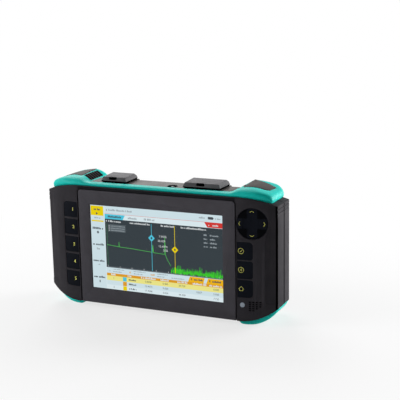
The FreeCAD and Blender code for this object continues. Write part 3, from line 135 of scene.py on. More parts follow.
def moulded(name, dark, light, rough, grain, grain_depth, metallic=0.0, coat=0.0, gloss=0.3):
    """A moulded or cast surface: soft blotches of two colours, uneven gloss and a fine grain."""
    material, nodes, links, shader, place = new_material(name)
    blotch = spread(nodes, links, noise(nodes, links, place, BLOTCHES, 4), *NOISE_RANGE, 0, 1)
    links.new(blend_colours(nodes, links, blotch, linear(dark), linear(light)), shader.inputs["Base Color"])
    patch = noise(nodes, links, place, GLOSS_PATCHES)
    uneven = spread(nodes, links, patch, *NOISE_RANGE, rough - 0.05, rough + 0.06)
    links.new(uneven, shader.inputs["Roughness"])
    bump = nodes.new("ShaderNodeBump")
    bump.inputs["Strength"].default_value = 0.5
    bump.inputs["Distance"].default_value = grain_depth
    links.new(noise(nodes, links, place, 1 / grain, 2), bump.inputs["Height"])
    links.new(bump.outputs["Normal"], shader.inputs["Normal"])
    shader.inputs["Metallic"].default_value = metallic
    shader.inputs["Coat Weight"].default_value = coat
    shader.inputs["Specular IOR Level"].default_value = gloss
    return material


def ink(name, colour):
    """Printed legend: slightly uneven, flat paint."""
    material, nodes, links, shader, place = new_material(name)
    full = linear(colour)
    links.new(mottled(nodes, links, place, 900, dimmed(full, 0.8), full), shader.inputs["Base Color"])
    shader.inputs["Roughness"].default_value = 0.5
    return material


def lit(name, colour):
    """Part of the lit picture behind the glass, which takes no light from outside."""
    material, nodes, links, shader, place = new_material(name)
    full = linear(colour)
    links.new(mottled(nodes, links, place, 40, dimmed(full, 0.94), full), shader.inputs["Emission Color"])
    shader.inputs["Emission Strength"].default_value = 1.0
    shader.inputs["Base Color"].default_value = (0, 0, 0, 1)
    shader.inputs["Specular IOR Level"].default_value = 0.0
    shader.inputs["Roughness"].default_value = 1.0
    return material


def clear_glass(name):
    """Thin bonded cover glass, nearly without reflections."""
    material, nodes, links, shader, place = new_material(name)
    tint = mottled(nodes, links, place, 25, (0.97, 0.98, 0.99, 1), (1, 1, 1, 1))
    links.new(tint, shader.inputs["Base Color"])
    shader.inputs["Roughness"].default_value = 0.0
    shader.inputs["Transmission Weight"].default_value = 1.0
    shader.inputs["IOR"].default_value = 1.04
    return material


MATERIALS = {
    "housing": moulded("charcoal_plastic", "302e32", "373539", 0.55, 0.35 * MM, 0.03 * MM, gloss=0.05),
    "bezel": moulded("bezel_plastic", "454348", "4b494f", 0.5, 0.3 * MM, 0.02 * MM, gloss=0.1),
    "keypad": moulded("key_plastic", "0d1017", "11141c", 0.45, 0.3 * MM, 0.02 * MM, gloss=0.04),
    # near black for the lower quarters of the round pad: painted shade
    "pad_well": moulded("pad_well", "090a0c", "0c0d10", 0.5, 0.3 * MM, 0.01 * MM, gloss=0.01),
    # painted shade of the teal strip's overhang, on the rim over the panel
    "brow_shade": moulded("brow_shade", "1d1d20", "232326", 0.6, 0.4 * MM, 0.01 * MM, gloss=0.02),
    # near black without gloss: painted shade in gaps, seams, notches, holes and under the caps, and the dark
    # joint lines and power key rings
    "black_and_painted_shade": moulded("black_and_painted_shade", "040405", "060607", 0.9, 0.4 * MM, 0.01 * MM, gloss=0.0),
    "teal_rubber": moulded("teal_rubber", "00cbbd", "00d5c8", 0.5, 0.25 * MM, 0.03 * MM, gloss=0.2),
    "insert": moulded("insert_plastic", "454240", "4d4a47", 0.6, 0.4 * MM, 0.05 * MM, gloss=0.1),
    "vent": moulded("vent_plastic", "1e1c1b", "252322", 0.6, 0.4 * MM, 0.05 * MM, gloss=0.1),
    "deck": moulded("deck_plastic", "625e5b", "6a6663", 0.55, 0.4 * MM, 0.04 * MM, gloss=0.2),
    "cap": moulded("cap_rubber", "4e4c4f", "565457", 0.6, 0.4 * MM, 0.04 * MM, gloss=0.2),
    "tray": moulded("tray_plastic", "1c1c1e", "232326", 0.55, 0.4 * MM, 0.03 * MM),
    "black_rubber": moulded("black_rubber", "121213", "1a1a1b", 0.75, 0.4 * MM, 0.05 * MM),
    "nylon": moulded("nylon", "232325", "2b2b2d", 0.5, 0.4 * MM, 0.03 * MM),
    "display_module": moulded("display_module", "0c0c0e", "141417", 0.25, 0.5 * MM, 0.005 * MM),
    "circuit_board": moulded("solder_mask", "0d4a26", "12582f", 0.4, 0.5 * MM, 0.02 * MM),
    "fibre_jacket": moulded("fibre_jacket", "d8c022", "e6cf34", 0.4, 0.3 * MM, 0.01 * MM),
    "lens": moulded("lens_window", "8d99a8", "a3aebb", 0.2, 0.5 * MM, 0.005 * MM, coat=0.6),
    # pale colour of the power key, left showing in its middle: a painted highlight on the dome
    "power_dome": moulded("power_dome", "c8cacc", "d8dadc", 0.25, 0.5 * MM, 0.005 * MM, coat=0.4),
    "pressed_steel": moulded("pressed_steel", "a8a8ac", "b6b6ba", 0.35, 0.5 * MM, 0.01 * MM, metallic=1.0),
    "steel": moulded("screw_steel", "8c8c90", "9c9ca0", 0.3, 0.5 * MM, 0.01 * MM, metallic=1.0),
    "cast_case": moulded("cast_case", "9a9ca0", "acaeb2", 0.45, 0.6 * MM, 0.05 * MM, metallic=1.0),
    "nickel": moulded("nickel", "b9b7b2", "cac8c3", 0.22, 0.5 * MM, 0.005 * MM, metallic=1.0),
    "screen_glass": clear_glass("screen_glass"),
}
LEGEND_INK = ink("legend_ink", "e4e26a")

SLOT_OF = {subpart["node"]: subpart["material_slot"] for subpart in frame["record"]["subparts"]}
BODY_OF = {node: body for body, members in frame["record"]["behaviour"]["bodies"].items()
           for node in members}

for node, obj in frame["nodes"].items():
    obj.data.materials.clear()
    obj.data.materials.append(MATERIALS[SLOT_OF[node]])


# ---- shared mesh tools -------------------------------------------------------------------------
WELD = 0.002 * MM              # corners nearer together than this are one
FLAT = math.radians(0.6)       # faces that turn by less than this are one
SHARP = math.radians(40)       # edges that turn by more than this are rounded
CREASE = math.radians(35)      # edges that turn by more than this stay crisp in the shading
EDGE_STEPS = 3


def add_piece(name, mesh, body, materials):
    """Put a finished mesh in the scene as a piece that rides on a body."""
    obj = bpy.data.objects.new(name, mesh)
    bpy.context.scene.collection.objects.link(obj)
    for material in materials:
        mesh.materials.append(material)
    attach(obj, body)
    return obj


def stand_in(node, mesh):
    """Put a smoothly shaded mesh in a CAD node's place, with its body and material."""
    mesh.polygons.foreach_set("use_smooth", [True] * len(mesh.polygons))
    piece = add_piece(node + "_finish", mesh, BODY_OF[node], [MATERIALS[SLOT_OF[node]]])
    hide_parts(node)
    return piece


def repaint(piece, look, chosen):
    """Give the chosen faces of a piece another material."""
    piece.data.materials.append(MATERIALS[look])
    for face in piece.data.polygons:
        if chosen(face):
            face.material_index = len(piece.data.materials) - 1


def mesh_of(bm, name):
    """Mesh of a bmesh that is done with."""
    mesh = bpy.data.meshes.new(name)
    bm.to_mesh(mesh)
    bm.free()
    return mesh


def joined(name, meshes):
    """One mesh of several."""
    bm = bmesh.new()
    for mesh in meshes:
        bm.from_mesh(mesh)
    return mesh_of(bm, name)


def evaluated(data, modifier=None, **settings):
    """Mesh that a mesh or a curve comes to, under one modifier or none."""
    scratch = bpy.data.objects.new("scratch", data)
    bpy.context.scene.collection.objects.link(scratch)
    if modifier:
        added = scratch.modifiers.new(modifier.lower(), modifier)
        for name, value in settings.items():
            setattr(added, name, value)
    graph = bpy.context.evaluated_depsgraph_get()
    mesh = bpy.data.meshes.new_from_object(scratch.evaluated_get(graph))
    bpy.data.objects.remove(scratch)
    return mesh


def slab(name, low, high, edge=0.0, steps=EDGE_STEPS):
    """Box between two corners, its edges rounded."""
    bm = bmesh.new()
    bmesh.ops.create_cube(bm, size=1.0)
    for vert in bm.verts:
        for k in range(3):
            vert.co[k] = low[k] if vert.co[k] < 0 else high[k]
    if edge:
        bmesh.ops.bevel(bm, geom=bm.edges[:], offset=edge, segments=steps, affect="EDGES")
    return mesh_of(bm, name)


def prism(name, first, last):
    """Closed solid between two outlines of as many points each."""
    bm = bmesh.new()
    rows = [[bm.verts.new(point) for point in outline] for outline in (first, last)]
    for i in range(len(first)):
        j = (i + 1) % len(first)
        bm.faces.new((rows[0][i], rows[0][j], rows[1][j], rows[1][i]))
    bm.faces.new(rows[0][::-1])
    bm.faces.new(rows[1])
    bmesh.ops.recalc_face_normals(bm, faces=bm.faces)
    return mesh_of(bm, name)


def tree_of(meshes):
    """Search tree over the faces of some meshes."""
    points = []
    faces = []
    for mesh in meshes:
        first = len(points)
        points.extend(v.co.copy() for v in mesh.vertices)
        faces.extend([first + i for i in p.vertices] for p in mesh.polygons)
    return BVHTree.FromPolygons(points, faces)


def keep_inside(mesh):
    """Hold a mesh within the CAD model's box, which a rounded edge may pass by a hair."""
    low, high = cad_bounds
    for vert in mesh.vertices:
        vert.co = [min(max(c, a), b) for c, a, b in zip(vert.co, low, high)]


def soften(node, width, cuts=()):
    """Stand a copy with rounded edges in for a CAD node, its faces parted at some planes."""
    bm = bmesh.new()
    bm.from_mesh(frame["nodes"][node].data)
    bmesh.ops.remove_doubles(bm, verts=bm.verts, dist=WELD)
    bmesh.ops.dissolve_limit(bm, angle_limit=FLAT, verts=bm.verts, edges=bm.edges)
    for place, normal in cuts:
        geometry = bm.verts[:] + bm.edges[:] + bm.faces[:]
        bmesh.ops.bisect_plane(bm, geom=geometry, plane_co=place, plane_no=normal)
    mesh = evaluated(mesh_of(bm, node + "_finish"), "BEVEL", width=width, segments=EDGE_STEPS,
                     limit_method="ANGLE", angle_limit=SHARP, miter_outer="MITER_ARC")
    keep_inside(mesh)
    piece = stand_in(node, mesh)
    mesh.set_sharp_from_angle(angle=CREASE)
    return piece


# ---- flat marks and their places on curved surfaces --------------------------------------------
INK_T = 0.03 * MM
INK_LIFT = 0.02 * MM           # foot of a mark over the surface that it lies on
MITRE = 0.3                    # cosine of half a corner's turn, past which its mitre grows no more
RING_STEPS = 28


def ring(radius, steps=RING_STEPS, start=0.0, sweep=2 * math.pi):
    """Points round a circle, or along an arc of it with both its ends."""
    return [(radius * math.cos(start + sweep * i / steps), radius * math.sin(start + sweep * i / steps))
            for i in range(steps if sweep >= 2 * math.pi else steps + 1)]


def stroke(points, width, depth, closed=False):
    """Flat line of even width through points, as a thin solid mesh on the XY plane."""
    bm = bmesh.new()
    count = len(points)
    rows = []
    for i, (x, y) in enumerate(points):
        before = points[i - 1] if i or closed else points[i]
        after = points[(i + 1) % count] if i + 1 < count or closed else points[i]
        a = Vector((x - before[0], y - before[1]))
        b = Vector((after[0] - x, after[1] - y))
        a = a.normalized() if a.length > 0 else b.normalized()
        b = b.normalized() if b.length > 0 else a
        mean = (a + b).normalized()
        normal = Vector((-mean.y, mean.x))
        reach = width / 2 / max(normal.dot(Vector((-a.y, a.x))), MITRE)
        rows.append([bm.verts.new((x + s * reach * normal.x, y + s * reach * normal.y, h))
                     for s, h in ((1, depth), (-1, depth), (-1, 0), (1, 0))])
    pairs = list(zip(rows, rows[1:])) + ([(rows[-1], rows[0])] if closed else [])
    for p, q in pairs:
        for k in range(4):
            bm.faces.new((p[k], p[(k + 1) % 4], q[(k + 1) % 4], q[k]))
    if not closed:
        bm.faces.new(rows[0][::-1])
        bm.faces.new(rows[-1])
    bmesh.ops.recalc_face_normals(bm, faces=bm.faces)
    return mesh_of(bm, "stroke")


def numeral(body, size, depth, weight=0.0):
    """Numerals about the origin of the XY plane."""
    curve = bpy.data.curves.new("numerals", "FONT")
    curve.body = body
    curve.size = size
    curve.align_x = "CENTER"
    curve.align_y = "CENTER"
    curve.extrude = depth
    curve.offset = weight
    curve.resolution_u = 3
    return evaluated(curve)


def middle(node):
    """Middle of a node's box."""
    low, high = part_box(node)
    return (low + high) / 2


def surface_at(node, x, z):
    """Point and outward direction of a node's front at x and z, seen from the front."""
    tree = tree_of([frame["nodes"][node].data])
    in_front = 2 * cad_bounds[0][1]
    place, normal, _, _ = tree.ray_cast(Vector((x, in_front, z)), BACK)
    return place, normal


def frame_at(node, x, z, aside=(0, 0)):
    """Matrix that lays the XY plane on a node's front, its X to the right and its Y up.

    The surface is found aside of x and z, for a place that is itself over an opening."""
    place, normal = surface_at(node, x + aside[0], z + aside[1])
    right = UP.cross(normal).normalized()
    up = normal.cross(right).normalized()
    turn = Matrix((right, up, normal)).transposed().to_4x4()
    back = Matrix.Translation((-aside[0], -aside[1], 0))
    return Matrix.Translation(place + normal * INK_LIFT) @ turn @ back


# ---- lip along the teal strip ------------------------------------------------------------------
LIP_H = 1.3 * MM               # crest over the deck
LIP_NOSE = 0.8 * MM            # round nose of the lip, behind its crest
LIP_FALL = 2.2 * MM            # how far the round front comes down the face
LIP_GAP = 0.5 * MM             # clear space between the nose and the port caps
LIP_PAST = 1.0 * MM            # past the deck's ends, into the rubber corners
LIP_STEPS = 6
STRIP_FACE = 0.8 * MM          # strip behind the shell's front rim
deck_low, deck_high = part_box("port_deck")


def quarter(centre, across, up, start):
    """Quarter of an ellipse, a quarter turn clockwise from its start angle, as points in Y and Z."""
    turns = [start - math.pi / 2 * i / LIP_STEPS for i in range(LIP_STEPS + 1)]
    return [(centre[0] + across * math.cos(t), centre[1] + up * math.sin(t)) for t in turns]


def strip_lip():
    """Round lip that carries the teal strip back over the deck's edge, as far as the port caps."""
    front = cad_bounds[0][1] + STRIP_FACE
    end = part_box("left_port_cap")[0].y - LIP_GAP
    section = quarter((front + LIP_FALL, deck_high.z + LIP_H / 2 - LIP_FALL), LIP_FALL, LIP_FALL, math.pi)
    section += quarter((end - LIP_NOSE, deck_high.z), LIP_NOSE, LIP_H, math.pi / 2)
    section += [(front + LIP_FALL, deck_high.z), (front + LIP_FALL, section[0][1])]
    ends = [[(x, y, z) for y, z in section] for x in (deck_low.x - LIP_PAST, deck_high.x + LIP_PAST)]
    return prism("strip_lip", *ends)


# ---- soft rubber corners -----------------------------------------------------------------------
SHELLS = ["front_housing", "rear_housing", "display_bezel"]
SEAT_NEAR = 0.15 * MM          # rubber nearer to a neighbour than this stays where it is
SEAT_BLEND = 0.6 * MM          # further away it comes free over this distance
SEAT_TIE = 0.01 * MM           # a shell that is this much further off still counts as the nearest
FLOW = 0.6                     # share of the way to its neighbours' mean that a point goes in a pass
KEPT_FACES = 0.3               # share of the even faces that is kept


def melt(node, neighbours, cell, passes, slip=0.0, grown=()):
    """Stand a copy in for a CAD node whose open edges flow together, as on soft moulded rubber.

    The faces that rest on a neighbour stay on it, and those on the shells may slip along them."""
    source = joined(node, [frame["nodes"][node].data, *grown])
    even = evaluated(source, "REMESH", mode="VOXEL", voxel_size=cell)
    own = tree_of([source])
    around = tree_of([frame["nodes"][n].data for n in neighbours])
    shells = tree_of([frame["nodes"][n].data for n in SHELLS])
    count = len(even.vertices)
    place = numpy.zeros((count, 3))
    seat = numpy.zeros((count, 3))
    free = numpy.zeros((count, 1))
    creep = numpy.zeros((count, 1))
    for i, vert in enumerate(even.vertices):
        place[i] = own.find_nearest(vert.co)[0]
        away = around.find_nearest(vert.co)[3]
        free[i] = min(1.0, max(0.0, (away - SEAT_NEAR) / SEAT_BLEND))
        _, seat[i], _, away_shell = shells.find_nearest(vert.co)
        if away_shell < away + SEAT_TIE:
            creep[i] = slip * (1 - free[i])
    ends = numpy.zeros(2 * len(even.edges), dtype=int)
    even.edges.foreach_get("vertices", ends)
    a, b = ends[0::2], ends[1::2]
    degree = numpy.bincount(ends, minlength=count)[:, None]
    for _ in range(passes):
        total = numpy.stack([numpy.bincount(a, place[b, k], count) + numpy.bincount(b, place[a, k], count)
                             for k in range(3)], axis=1)
        step = FLOW * (total / degree - place)
        place += free * step + creep * (step - (step * seat).sum(axis=1, keepdims=True) * seat)
    even.vertices.foreach_set("co", place.ravel())
    even.update()
    stand_in(node, evaluated(even, "DECIMATE", ratio=KEPT_FACES))


melt("top_bumper", SHELLS + ["port_deck", "bump_insert_left", "bump_insert_right", "vent_comb_left",
                             "vent_comb_right"], cell=0.7 * MM, passes=110, slip=0.9, grown=[strip_lip()])
for side in ("left", "right"):
    melt(f"bottom_bumper_{side}", SHELLS, cell=0.6 * MM, passes=60)


# ---- edges of the bezel, keys and covers -------------------------------------------------------
EDGES = {                      # how wide a node's edges are rounded, in millimetres
    "display_bezel": 0.25, "battery_cover": 0.4, "kickstand": 0.5, "port_deck": 0.4,
    "bump_insert_left": 0.25, "bump_insert_right": 0.25, "vent_comb_left": 0.15, "vent_comb_right": 0.15,
    "power_ring": 0.25, "power_key": 0.3, "rear_pads": 0.3, "dpad": 0.3,
    "optical_tray": 0.2, "data_tray": 0.2, "light_sensor_lens": 0.1,
}
KEY_EDGE = 0.35
EDGES.update({node: KEY_EDGE for node in frame["nodes"] if node.startswith("key_")})
for node, width in EDGES.items():
    soften(node, width * MM)


# ---- shells, with painted shade round the panel and on the right wing's edge, and dark joint lines ---
FRONT_EDGE = 0.25 * MM
REAR_EDGE = 0.4 * MM
PANEL_GAP = 0.6 * MM           # painted shade in the gap between the panel and the rim over it
WING_SHADE = 2.0 * MM           # painted shade down the right wing's outer edge, which turns away from the key light
PART_LINE = 1.2 * MM           # dark line on either side of the joint between the shells
FACING = 0.5                   # least share of a face's direction along an axis that it looks along
FACING_ROUND = 0.25            # the same, with the rounded edge counted in
bezel_low, bezel_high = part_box("display_bezel")
gap_top = bezel_high.z + PANEL_GAP
front_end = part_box("front_housing")[1]
edge_x = front_end.x - WING_SHADE
joint_y = front_end.y


def over_panel(face):
    """True on the shell's rim over the panel, under the teal strip, where its shade is painted."""
    return (bezel_low.x < face.center.x < bezel_high.x and face.center.z > bezel_high.z
            and face.normal.y < -FACING)


def at_joint(face):
    """True on the outside of the ends, along the joint between the shells."""
    return (abs(face.center.y - joint_y) < PART_LINE and abs(face.normal.x) > FACING
            and abs(face.center.x) > edge_x)


def in_shade(face):
    """True where the front shell is painted black: painted shade in the gap over the panel and down the right
    wing's edge, and the dark line at the joint.
    """
    wing_edge_shade = face.center.x > edge_x and face.normal.y < -FACING_ROUND
    return (over_panel(face) and face.center.z < gap_top) or at_joint(face) or wing_edge_shade


shell = soften("front_housing", FRONT_EDGE, cuts=[
    ((0, 0, bezel_high.z), UP), ((0, 0, gap_top), UP),
    ((bezel_low.x, 0, 0), ACROSS), ((bezel_high.x, 0, 0), ACROSS), ((edge_x, 0, 0), ACROSS),
    ((0, joint_y - PART_LINE, 0), BACK),
])
# painted shade: dark on the rim under the teal strip, black in the gap over the panel and down the right
# wing's edge
repaint(shell, "brow_shade", over_panel)
repaint(shell, "black_and_painted_shade", in_shade)
shell = soften("rear_housing", REAR_EDGE, cuts=[((0, joint_y + PART_LINE, 0), BACK)])
repaint(shell, "black_and_painted_shade", at_joint)


# ---- port caps, with painted shadow round the foot and painted shade in the notch in the front ---
CAP_EDGE = 0.35 * MM
# height of the painted shadow on each cap's recessed foot, over the deck
CAP_SHADE_H = 2.1 * MM
NOTCH_SHADE = Vector((8.2, 2.4, 2.5)) * MM             # whole size
NOTCH_SHADE_EDGE = 0.4 * MM
NOTCH_OFF = 1.5 * MM           # left of the cap's middle
NOTCH_IN = 0.3 * MM            # behind the cap's front
NOTCH_DOWN = 1.0 * MM          # below the cap's top
shade_top = deck_high.z + CAP_SHADE_H
for side in ("left", "right"):
    node = f"{side}_port_cap"
    low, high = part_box(node)
    cap = soften(node, CAP_EDGE, cuts=[((0, 0, shade_top), UP)])
    # painted shadow on the recessed foot, under the cap's overhang
    repaint(cap, "black_and_painted_shade", lambda face: face.center.z < shade_top)
    # a dark block inside the front notch paints the notch's shade
    centre = Vector((middle(node).x - NOTCH_OFF, low.y + NOTCH_IN + NOTCH_SHADE.y / 2,
                     high.z - NOTCH_DOWN - NOTCH_SHADE.z / 2))
    mesh = slab(f"{side}_cap_notch_shade", centre - NOTCH_SHADE / 2, centre + NOTCH_SHADE / 2, NOTCH_SHADE_EDGE)
    add_piece(f"{side}_cap_notch_shade", mesh, BODY_OF[node], [MATERIALS["black_and_painted_shade"]])


# ---- painted shade in the seams beside the panel -----------------------------------------------
SEAM_END = 1.5 * MM            # short of the panel's top and bottom
SEAM_LIFT = 0.02 * MM          # in front of the wing's surface
SEAM_T = 0.3 * MM
# the painted shade is wider in the left seam than in the right one
LEFT_SEAM_W = 1.8 * MM
RIGHT_SEAM_W = 0.75 * MM
for name, x0, x1 in (("seam_left", bezel_low.x - LEFT_SEAM_W, bezel_low.x),
                     ("seam_right", bezel_high.x, bezel_high.x + RIGHT_SEAM_W)):
    wing_y = surface_at("front_housing", (x0 + x1) / 2, middle("display_bezel").z)[0].y
    face_y = max(wing_y - SEAM_LIFT, cad_bounds[0][1])
    mesh = slab(name, (x0, face_y, bezel_low.z + SEAM_END), (x1, face_y + SEAM_T, bezel_high.z - SEAM_END))
    add_piece(name, mesh, ROOT, [MATERIALS["black_and_painted_shade"]])


# ---- black squares for the holes of the speaker's grille, their painted shade ------------------
GRILLE_COLUMNS = (5, 5, 4, 3)  # dots in each column, counted from its top
GRILLE_PITCH = Vector((3.5, 2.2)) * MM
DOT_HALF = (0.9 * MM, 0.62 * MM)
speaker = middle("speaker")
left_x = speaker.x - (len(GRILLE_COLUMNS) - 1) / 2 * GRILLE_PITCH.x
top_z = speaker.z + (max(GRILLE_COLUMNS) - 1) / 2 * GRILLE_PITCH.y
dots = []
for column, count in enumerate(GRILLE_COLUMNS):
    for row in range(count):
        dot_mesh = slab("dot", (-DOT_HALF[0], -DOT_HALF[1], 0), (*DOT_HALF, INK_T))
        dot_mesh.transform(frame_at("front_housing", left_x + column * GRILLE_PITCH.x,
                                    top_z - row * GRILLE_PITCH.y, aside=GRILLE_PITCH / 2))
        dots.append(dot_mesh)
add_piece("speaker_hole_shade", joined("speaker_hole_shade", dots), ROOT, [MATERIALS["black_and_painted_shade"]])


# ---- painted shade on the lower quarters of the round pad, between the arms of its cross -------
ARM_HALF = 5.3 * MM            # half the width of an arm
QUARTER_R = 15.4 * MM
QUARTER_STEPS = 8
PAD_ASIDE = 8.0 * MM           # from the pad's middle to a place between two arms, both ways
pad = middle("dpad")


def pad_quarter(turns):
    """Thin plate between two arms, some quarter turns on from the first."""
    first = math.asin(ARM_HALF / QUARTER_R)
    outline = [(ARM_HALF, ARM_HALF)] + ring(QUARTER_R, QUARTER_STEPS, first, math.pi / 2 - 2 * first)
    mesh = prism("pad_quarter", [(x, y, 0) for x, y in outline], [(x, y, INK_T) for x, y in outline])
    mesh.transform(Matrix.Rotation(math.pi / 2 * turns, 4, "Z"))
    return mesh


mesh = joined("pad_quarters", [pad_quarter(turns) for turns in range(4)])
mesh.transform(frame_at("dpad", pad.x, pad.z, aside=(PAD_ASIDE, PAD_ASIDE)))
add_piece("pad_quarters", mesh, "dpad", [MATERIALS["pad_well"]])


# ---- dark rings on and round the power key -----------------------------------------------------
POWER_DOME_R = 1.6 * MM        # pale dome in the middle of the key, its paleness a painted highlight
BAND_T = 0.1 * MM
BAND_STEPS = 48
KEY_BAND_IN = 0.1 * MM         # inside the key's edge
DECK_BAND_GAP = 0.2 * MM       # clear space round the key
DECK_BAND_PAST = 0.8 * MM      # past the raised ring's edge
key_low, key_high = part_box("power_key")
key_r = (key_high.x - key_low.x) / 2
ring_low, ring_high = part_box("power_ring")
ring_r = (ring_high.x - ring_low.x) / 2
for name, body, inner, outer, z in (
    ("power_key_band", "power_key", POWER_DOME_R, key_r - KEY_BAND_IN, key_high.z),
    ("power_deck_band", ROOT, key_r + DECK_BAND_GAP, ring_r + DECK_BAND_PAST, ring_high.z),
):
    mesh = stroke(ring((inner + outer) / 2, BAND_STEPS), outer - inner, BAND_T, True)
    mesh.transform(Matrix.Translation((*middle("power_key").xy, z)))
    add_piece(name, mesh, body, [MATERIALS["black_and_painted_shade"]])


# ---- legends -----------------------------------------------------------------------------------
LEFT_LEGEND_IN = 5.5 * MM      # from the key's edge at the panel
RIGHT_LEGEND_IN = 3.9 * MM
NUMERAL = 5.0 * MM
NUMERAL_WEIGHT = 0.12 * MM
ICON_R = 2.8 * MM
ICON_LINE = 0.42 * MM
PAD_MARK_R = 12.4 * MM         # from the pad's middle to the point of a chevron's arms
CHEVRON = Vector((0.66, 2.2)) * MM               # half its depth and half its height
ICONS = {                      # corners in icon radii, width of the line, if it closes, if it has a ring
    "ok": ([(-0.42, 0.02), (-0.1, -0.34), (0.45, 0.38)], ICON_LINE, False, True),
    "back": ([(0.25, 0.45), (-0.35, 0), (0.25, -0.45)], 0.8 * ICON_LINE, True, True),
    "home": ([(-0.62, -0.75), (-0.62, -0.1), (-0.95, -0.1), (0, 0.85), (0.95, -0.1), (0.62, -0.1),
              (0.62, -0.75)], ICON_LINE, True, False),
}


def legend(name, node, x, z, mesh):
    """Print a flat mark on the front of a node."""
    mesh.transform(frame_at(node, x, z))
    add_piece(name, mesh, node, [LEGEND_INK])


for digit in "12345":
    node = f"key_{digit}"
    legend(f"numeral_{digit}", node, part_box(node)[1].x - LEFT_LEGEND_IN, middle(node).z,
           numeral(digit, NUMERAL, INK_T, NUMERAL_WEIGHT))

for name, (corners, line, closed, ringed) in ICONS.items():
    node = f"key_{name}"
    strokes = [stroke(ring(ICON_R), ICON_LINE, INK_T, True)] if ringed else []
    strokes.append(stroke([(x * ICON_R, y * ICON_R) for x, y in corners], line, INK_T, closed))
    legend(f"icon_{name}", node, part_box(node)[0].x + RIGHT_LEGEND_IN, middle(node).z, joined(node, strokes))

for name, degrees in (("right", 0), ("up", 90), ("left", 180), ("down", 270)):
    mesh = stroke([(-CHEVRON.x, CHEVRON.y), (CHEVRON.x, 0), (-CHEVRON.x, -CHEVRON.y)], ICON_LINE, INK_T)
    turn = Matrix.Rotation(math.radians(degrees), 4, "Z")
    mesh.transform(turn)
    out = turn @ Vector((PAD_MARK_R, 0, 0))
    legend(f"chevron_{name}", "dpad", pad.x + out.x, pad.z + out.y, mesh)


# ---- the lit picture ---------------------------------------------------------------------------
# It is laid out in the display's own dots, from its top left corner: u goes to the right and v down.
# Higher layers lie nearer to the glass. Words are stand-ins, and only the readings are figures.
DOTS_ACROSS = 800
DOTS_DOWN = 480
GLASS_MARGIN = 3.8 * MM        # black border of the glass round the picture
PICTURE_IN = 0.55 * MM         # behind the front of the glass
LAYER = 0.03 * MM              # from one layer to the next
glass_low, glass_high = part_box("display_glass")
picture_left = glass_low.x + GLASS_MARGIN
picture_top = glass_high.z - GLASS_MARGIN
picture_y = glass_low.y + PICTURE_IN
dot = (glass_high.x - glass_low.x - 2 * GLASS_MARGIN) / DOTS_ACROSS

INKS = {
    "paper": lit("paper", "cfe2e8"),
    "sheet": lit("sheet", "dcebef"),
    "plot": lit("plot_ground", "3a4247"),
    "block": lit("legend_block", "5c666b"),
    "yellow": lit("signal_yellow", "e8cf10"),
    "amber": lit("amber", "eeb41c"),
    "orange": lit("orange", "dc9a28"),
    "row": lit("pale_yellow", "ece588"),
    "cyan": lit("cyan", "52c4dc"),
    "red": lit("red", "d23b35"),
    "rule": lit("red_rule", "d98c88"),
    "green": lit("trace_green", "55c456"),
    "dim_green": lit("axis_green", "4f8f62"),
    "noise": lit("noise_green", "3fd12c"),
    "text": lit("dark_text", "4a4f55"),
    "soft": lit("soft_text", "9aa4aa"),
    "white": lit("white_text", "d5dadc"),
}
INK_LIST = list(INKS)
SWAP_Y_AND_Z = Matrix(((1, 0, 0, 0), (0, 0, 1, 0), (0, 1, 0, 0), (0, 0, 0, 1)))
dice = random.Random(7)


class Picture:
    """Collects flat shapes, placed in the display's dots, into one mesh with a colour for each."""

    def __init__(self):
        self.bm = bmesh.new()

    def place(self, u, v, layer):
        """Point in space of a place in the picture."""
        return (picture_left + u * dot, picture_y - layer * LAYER, picture_top - v * dot)

    def paint(self, face, colour):
        """Give a face its colour and turn it to the front."""
        face.material_index = INK_LIST.index(colour)
        face.normal_update()
        if face.normal.y > 0:
            face.normal_flip()

    def shape(self, points, colour, layer=1):
        corners = [self.bm.verts.new(self.place(u, v, layer)) for u, v in points]
        self.paint(self.bm.faces.new(corners), colour)

    def bar(self, u0, v0, u1, v1, colour, layer=1):
        self.shape([(u0, v0), (u1, v0), (u1, v1), (u0, v1)], colour, layer)

    def diamond(self, u, v, half_u, half_v, colour, layer):
        self.shape([(u - half_u, v), (u, v - half_v), (u + half_u, v), (u, v + half_v)], colour, layer)

    def line(self, points, width, colour, layer):
        """Line of even width, as a slanted bar for each of its stretches."""
        for (ua, va), (ub, vb) in zip(points, points[1:]):
            length = math.hypot(ub - ua, vb - va)
            du = (vb - va) / length * width / 2
            dv = (ua - ub) / length * width / 2
            self.shape([(ua + du, va + dv), (ub + du, vb + dv), (ub - du, vb - dv), (ua - du, va - dv)],
                       colour, layer)

    def words(self, u0, u1, v, height, colour, layer=3):
        """Stand-in for a line of text: small blocks of uneven width, with gaps as between words."""
        u = u0
        while u < u1:
            wide = height * dice.uniform(0.35, 0.65)
            tall = height * dice.choice((0.7, 0.7, 1.0))
            self.bar(u, v + height / 2 - tall, min(u + wide, u1), v + height / 2, colour, layer)
            u += wide + height * dice.choice((0.16, 0.16, 0.16, 0.16, 0.6))

    def number(self, u, v, height, value, colour, layer):
        """Figures about u and v."""
        mesh = numeral(value, height * dot, 0)
        mesh.transform(Matrix.Translation(Vector(self.place(u, v, layer))) @ SWAP_Y_AND_Z)
        known = len(self.bm.faces)
        self.bm.from_mesh(mesh)
        self.bm.faces.ensure_lookup_table()
        for face in self.bm.faces[known:]:
            self.paint(face, colour)


picture = Picture()

